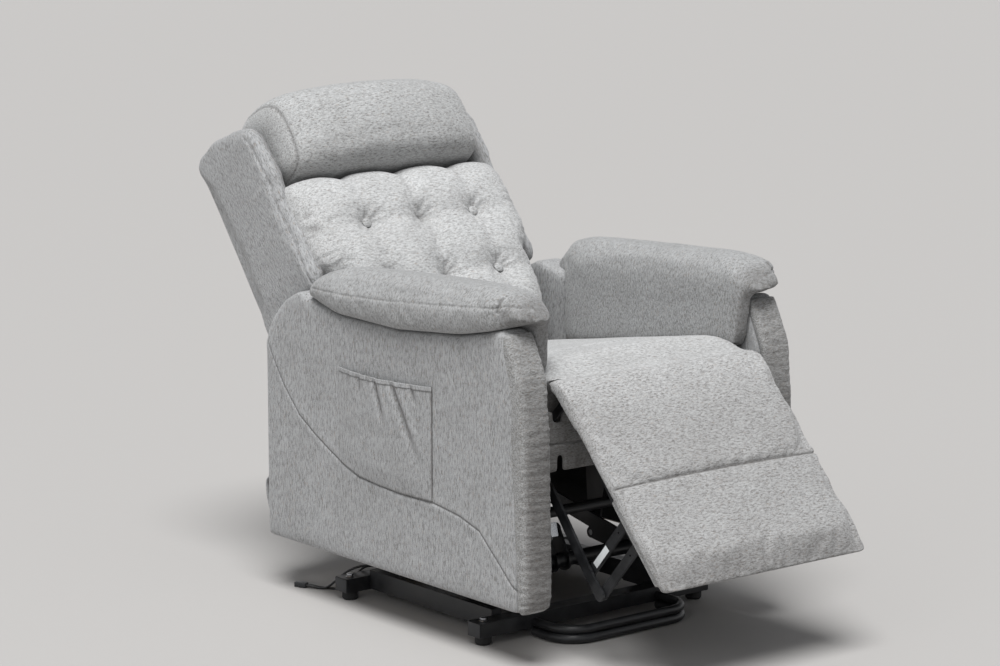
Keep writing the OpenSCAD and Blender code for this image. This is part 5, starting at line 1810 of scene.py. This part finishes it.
@dataclass
class Footrest(Assembly):
    """Footrest: stuffed leg pad in two panels, its board, and the scissor links that carry it."""

    knee: Point = (-423, 520)
    slope: float = 47.5
    nose: float = 43.6
    length: float = 449.0
    seam: float = 224.0
    thickness: float = 27.4
    crown: float = 9.0
    reach: float = 265.5
    board_t: float = 18.0
    upper_pin: Point = (-589, 313)
    lower_pin: Point = (-624, 275)
    drive_pivot: Point = (-316, 396)
    bar_face: float = 220.0
    rivet_seat: float = 213.6
    strip: tuple[float, float, float] = (0.7, 55.0, 14.0)

    def on_leg(self, s: float, n: float) -> Vector:
        """Place on the pad: s along it from the hinge, n below its face; turned round it for s < 0."""
        a = math.radians(self.slope)
        along = Vector((0, -math.cos(a), -math.sin(a)))
        up = Vector((0, -math.sin(a), math.cos(a)))
        root = Vector((0, *self.knee))
        if s >= 0:
            return root + along * s + up * (self.nose - n)
        turn = s / self.nose
        return root + Vector((0, up.y * math.cos(turn) - up.z * math.sin(turn),
                              up.y * math.sin(turn) + up.z * math.cos(turn))) * (self.nose - n)

    def from_leg(self, p: Vector) -> tuple[float, float]:
        """Returns (s, n) of a place."""
        a = math.radians(self.slope)
        away = Vector((0, p.y - self.knee[0], p.z - self.knee[1]))
        s = -away.y * math.cos(a) - away.z * math.sin(a)
        if s >= 0:
            return s, self.nose + away.y * math.sin(a) - away.z * math.cos(a)
        up = Vector((0, -math.sin(a), math.cos(a)))
        return -self.nose * away.angle(up, 0.0), self.nose - away.length

    def build(self) -> None:
        """Builds the pad and board, dresses the links and adds rivets and the blank strip."""
        self.dress(PAINTED_STEEL, "leg_arms", "leg_drive_links", "leg_bar_upper", "leg_bar_lower")
        self.dress(ZINC_STEEL, "leg_pins")
        self.pad()
        self.board()
        self.blank_strip()
        self.rivets()

    def pad(self) -> None:
        """Builds the leg pad with its rolled knee, cross seam and boxed lower edge."""
        tops = [(-58, 0), (-40, 0), (-20, 0), (0, 0), (35, 0), (80, 0), (130, 0), (180, 0), (224, 0), (275, 0),
                (330, 0), (380, 0), (415, 0.3), (436, 2.5)]
        tip = [(447, 8), (450, 15), (447, 22)]
        t_all = self.thickness
        unders = [(434, t_all), (360, t_all), (290, t_all), (220, t_all), (150, t_all), (80, t_all),
                  (20, t_all), (-12, t_all), (-36, t_all), (-57, t_all)]
        outline = smooth_line([*tops, *tip, *unders], closed=True)
        half = t_all / 2

        def surface(u: float, v: float) -> Vector:
            """Outline in (s, n), crowned and drawn in at both sides."""
            t = math.sin(math.pi * (u - 0.5))
            s, n = outline(v)
            keep = drawn_in(t, 13)
            crest = self.crown * (1 - t * t) * ease(s, 20, 90) * (1 - ease(s, 400, 445))
            crest *= 1 - ease(n, 2, 14)
            place = self.on_leg(s if s < 0 else s * (0.988 + 0.012 * keep), half + (n - crest - half) * keep)
            place.x = t * self.reach
            return place

        piece = grid_skin("leg_pad_cover", (64, 130), surface)
        soften(piece, 7.5, 1)

        def cap(p: Vector) -> float:
            """Free on the face and a little at the sides."""
            s, n = self.from_leg(p)
            return 0.8 + 9 * (1 - ease(n, 4, 16)) * ease(s, -6, 40) * (1 - 0.7 * ease(abs(p.x), 250, 264))

        def held(p: Vector) -> float:
            """Sewn across at the seam, stapled under."""
            s, n = self.from_leg(p)
            return max(ease(n, 10, 20), 0.95 * bell(s - self.seam, 6))

        inflate(piece, cap, held, slack=0.03)

        def near(p: Vector) -> bool:
            """Whether a place lies by a seam of the pad."""
            s, n = self.from_leg(p)
            return n < 12 and (abs(s - self.seam) < 9 or (abs(abs(p.x) - 244) < 7 and s > -30))

        refine(piece, near, 1)

        def relief(p: Vector, out: Vector) -> tuple[Vector, float]:
            """Cross seam with its small gathers, side seams, and the slack cloth between, with painted shade in
            the seams and gathers, just above the cross seam, darker away from the knee and along the lower edge.
            """
            s, n = self.from_leg(p)
            face = 1 - ease(n, 5, 16)
            cross = bell(s - self.seam, 3.0) * face
            over = bell(abs(s - self.seam) - 10, 7) * face
            lower = ease(s, self.seam, self.seam + 10)
            side = bell(abs(p.x) - 249, 3.0) * face * ease(s, 10, 50) * (0.35 + 0.65 * lower)
            cuff = 1 - ease(abs(s - self.seam), 14, 40)
            gather = waves(p, 15, (1.1, 0.3, 0.3), 17.0) * cuff * face
            pucker = waves(p, 16, (0.3, 0.9, 0.9), 23.0) * ease(abs(p.x), 226, 246) * face * ease(s, 10, 50)
            soft = 1.5 * waves(p, 80, (0.55, 1, 1), 19.0) * face * ease(s, 0, 60)
            height = 1.6 * over - 4.2 * cross - 1.3 * side + 0.9 * gather + 0.8 * pucker + soft
            # Painted shade above the cross seam, growing away from the knee and along the lower edge.
            painted_face_shade = max(0.3 * bell(s - self.seam + 8, 9) * face,
                        0.22 * ease(s, -30, 90) + 0.2 * ease(s, 370, 436))
            return out * height, max(0.7 * cross, 0.25 * side, 0.15 * ease(-gather, 0.25, 0.9), painted_face_shade)

        sculpt(piece, relief)
        self.place(piece, "footrest", "light_chenille", CHENILLE_LEG, ["leg_pad"], 0.7)

    def board(self) -> None:
        """Builds the cloth-covered board behind the lower panel."""
        a, b = self.seam + 6, self.length - 28
        n0, n1 = self.thickness + 0.3, self.thickness + 0.3 + self.board_t
        corners = [self.on_leg(s, n) for s, n in ((a, n0), (b, n0), (b, n1), (a, n1))]
        reach = self.reach - 13.5
        piece = slab("leg_board_cover", [(q.y, q.z) for q in corners], -reach, reach, 5, 4)
        self.place(piece, "footrest", "light_chenille", CHENILLE_LEG, ["leg_board"])

    def blank_strip(self) -> None:
        """Sticks the blank pale strip on the outside of the right upper bar."""
        top = Vector(self.upper_pin)
        knee = top + Vector(self.drive_pivot) - Vector(self.knee)
        along = (knee - top).normalized()
        side = Vector((-along.y, along.x))
        share, length, width = self.strip
        middle = top + (knee - top) * share
        corners = [middle + along * (i * length / 2) + side * (j * width / 2)
                   for i, j in ((-1, -1), (1, -1), (1, 1), (-1, 1))]
        piece = slab("blank_strip", [(q.x, q.y) for q in corners], -self.bar_face - 0.45,
                     -self.bar_face - 0.05, 0.12, 2)
        self.place(piece, "leg_bar_upper", "bright_steel", VINYL_STRIP)

    def rivets(self) -> None:
        """Heads the pins of the footrest links on their inner ends."""
        for (y, z), word in ((self.upper_pin, "upper"), (self.lower_pin, "lower")):
            for side, hand in ((1, "left"), (-1, "right")):
                piece = rivet_head(f"leg_{word}_rivet_{hand}", Vector((side * self.rivet_seat, y, z)),
                                   Vector((-side, 0, 0)), 17, 4)
                self.place(piece, "footrest", "bright_steel", ZINC_STEEL)


# ---------- studio ----------


@dataclass
class Studio(Assembly):
    """Pale floor, soft lamps and the camera."""

    eye: tuple[float, float, float] = (-4.2876, -5.2551, 1.8203)
    yaw: float = 0.6778
    pitch: float = 0.1829
    lens: float = 120.0
    floor_colour: str = "ADABA9"
    backdrop: str = "D6D7D9"
    fill: float = 0.33
    sun: float = 3.8
    sun_way: tuple[float, float, float] = (-0.3, -0.3, 1.0)
    sun_width: float = 32.0
    soft_box: float = 45.0

    def build(self) -> None:
        """Sets the camera, the world, the lamps and the floor."""
        scene = bpy.context.scene
        scene.view_settings.view_transform = "Standard"
        data = bpy.data.cameras.new("camera")
        data.lens, data.sensor_width, data.clip_end = self.lens, 36.0, 100.0
        camera = bpy.data.objects.new("camera", data)
        camera.location = self.eye
        camera.rotation_euler = (math.pi / 2 - self.pitch, 0, -self.yaw)
        scene.collection.objects.link(camera)
        scene.camera = camera
        self.world(scene)
        data = bpy.data.lights.new("key", "SUN")
        data.energy, data.angle = self.sun, math.radians(self.sun_width)
        key = bpy.data.objects.new("key", data)
        key.rotation_euler = Vector(self.sun_way).to_track_quat("Z", "Y").to_euler()
        scene.collection.objects.link(key)
        self.lamp("side_fill", (-4.2, -2.6, 2.8), 3.5, self.soft_box)
        self.floor()

    def world(self, scene: bpy.types.Scene) -> None:
        """Lights the scene evenly and shows a pale backdrop to the camera and in reflections."""
        world = bpy.data.worlds.new("studio")
        world.use_nodes = True
        scene.world = world
        tree = world.node_tree
        tree.nodes.clear()
        rays = add_node(tree, "ShaderNodeLightPath")
        seen = add_node(tree, "ShaderNodeMath", {"operation": "MAXIMUM"},
                        {0: rays.outputs["Is Camera Ray"], 1: rays.outputs["Is Glossy Ray"]})
        shown = add_node(tree, "ShaderNodeMath", {"operation": "MAXIMUM"},
                         {0: seen.outputs[0], 1: rays.outputs["Is Transmission Ray"]})
        light = add_node(tree, "ShaderNodeBackground", {"Color": linear("F2F4F8"), "Strength": self.fill})
        back = add_node(tree, "ShaderNodeBackground", {"Color": linear(self.backdrop), "Strength": 1.0})
        mix = add_node(tree, "ShaderNodeMixShader", links={0: shown.outputs[0], 1: light.outputs[0],
                                                           2: back.outputs[0]})
        add_node(tree, "ShaderNodeOutputWorld", links={"Surface": mix.outputs[0]})

    @staticmethod
    def lamp(name: str, place: tuple[float, float, float], size: float, power: float) -> None:
        """Hangs a square lamp that faces the chair.

        Args:
            name: The lamp's name.
            place: Where it hangs, in metres.
            size: Side in metres.
            power: Power in watts.
        """
        data = bpy.data.lights.new(name, "AREA")
        data.size, data.energy = size, power
        lamp = bpy.data.objects.new(name, data)
        lamp.location = place
        lamp.rotation_euler = (Vector(place) - Vector((0, 0, 0.5))).to_track_quat("Z", "Y").to_euler()
        bpy.context.scene.collection.objects.link(lamp)

    def floor(self) -> None:
        """Lays the pale floor."""
        bm = bmesh.new()
        bmesh.ops.create_grid(bm, x_segments=1, y_segments=1, size=14.0)
        plane = as_piece(bm, "studio_floor")
        made = bpy.data.materials.new("matt_floor")
        made.use_nodes = True
        tree = made.node_tree
        shader = tree.nodes["Principled BSDF"]
        shader.inputs["Base Color"].default_value = linear(self.floor_colour)
        shader.inputs["Roughness"].default_value = 0.9
        shader.inputs["Specular IOR Level"].default_value = 0.1
        plane.data.materials.append(made)


def main() -> None:
    """Builds the studio and every sub-assembly in order."""
    logging.basicConfig(level=logging.INFO, format="%(message)s")
    units: list[Assembly] = [Studio(), LiftBase(), LiftLinkage(), SeatUnit(), ArmUnit(-1, "right"),
                             ArmUnit(1, "left"), SidePocket(), HandControl(), BackUnit(), RearSkirt(),
                             Footrest()]
    for unit in units:
        unit.build()
        LOG.info("finished %s", type(unit).__name__)
    bpy.context.view_layer.update()


if __name__ == "__main__":
    main()
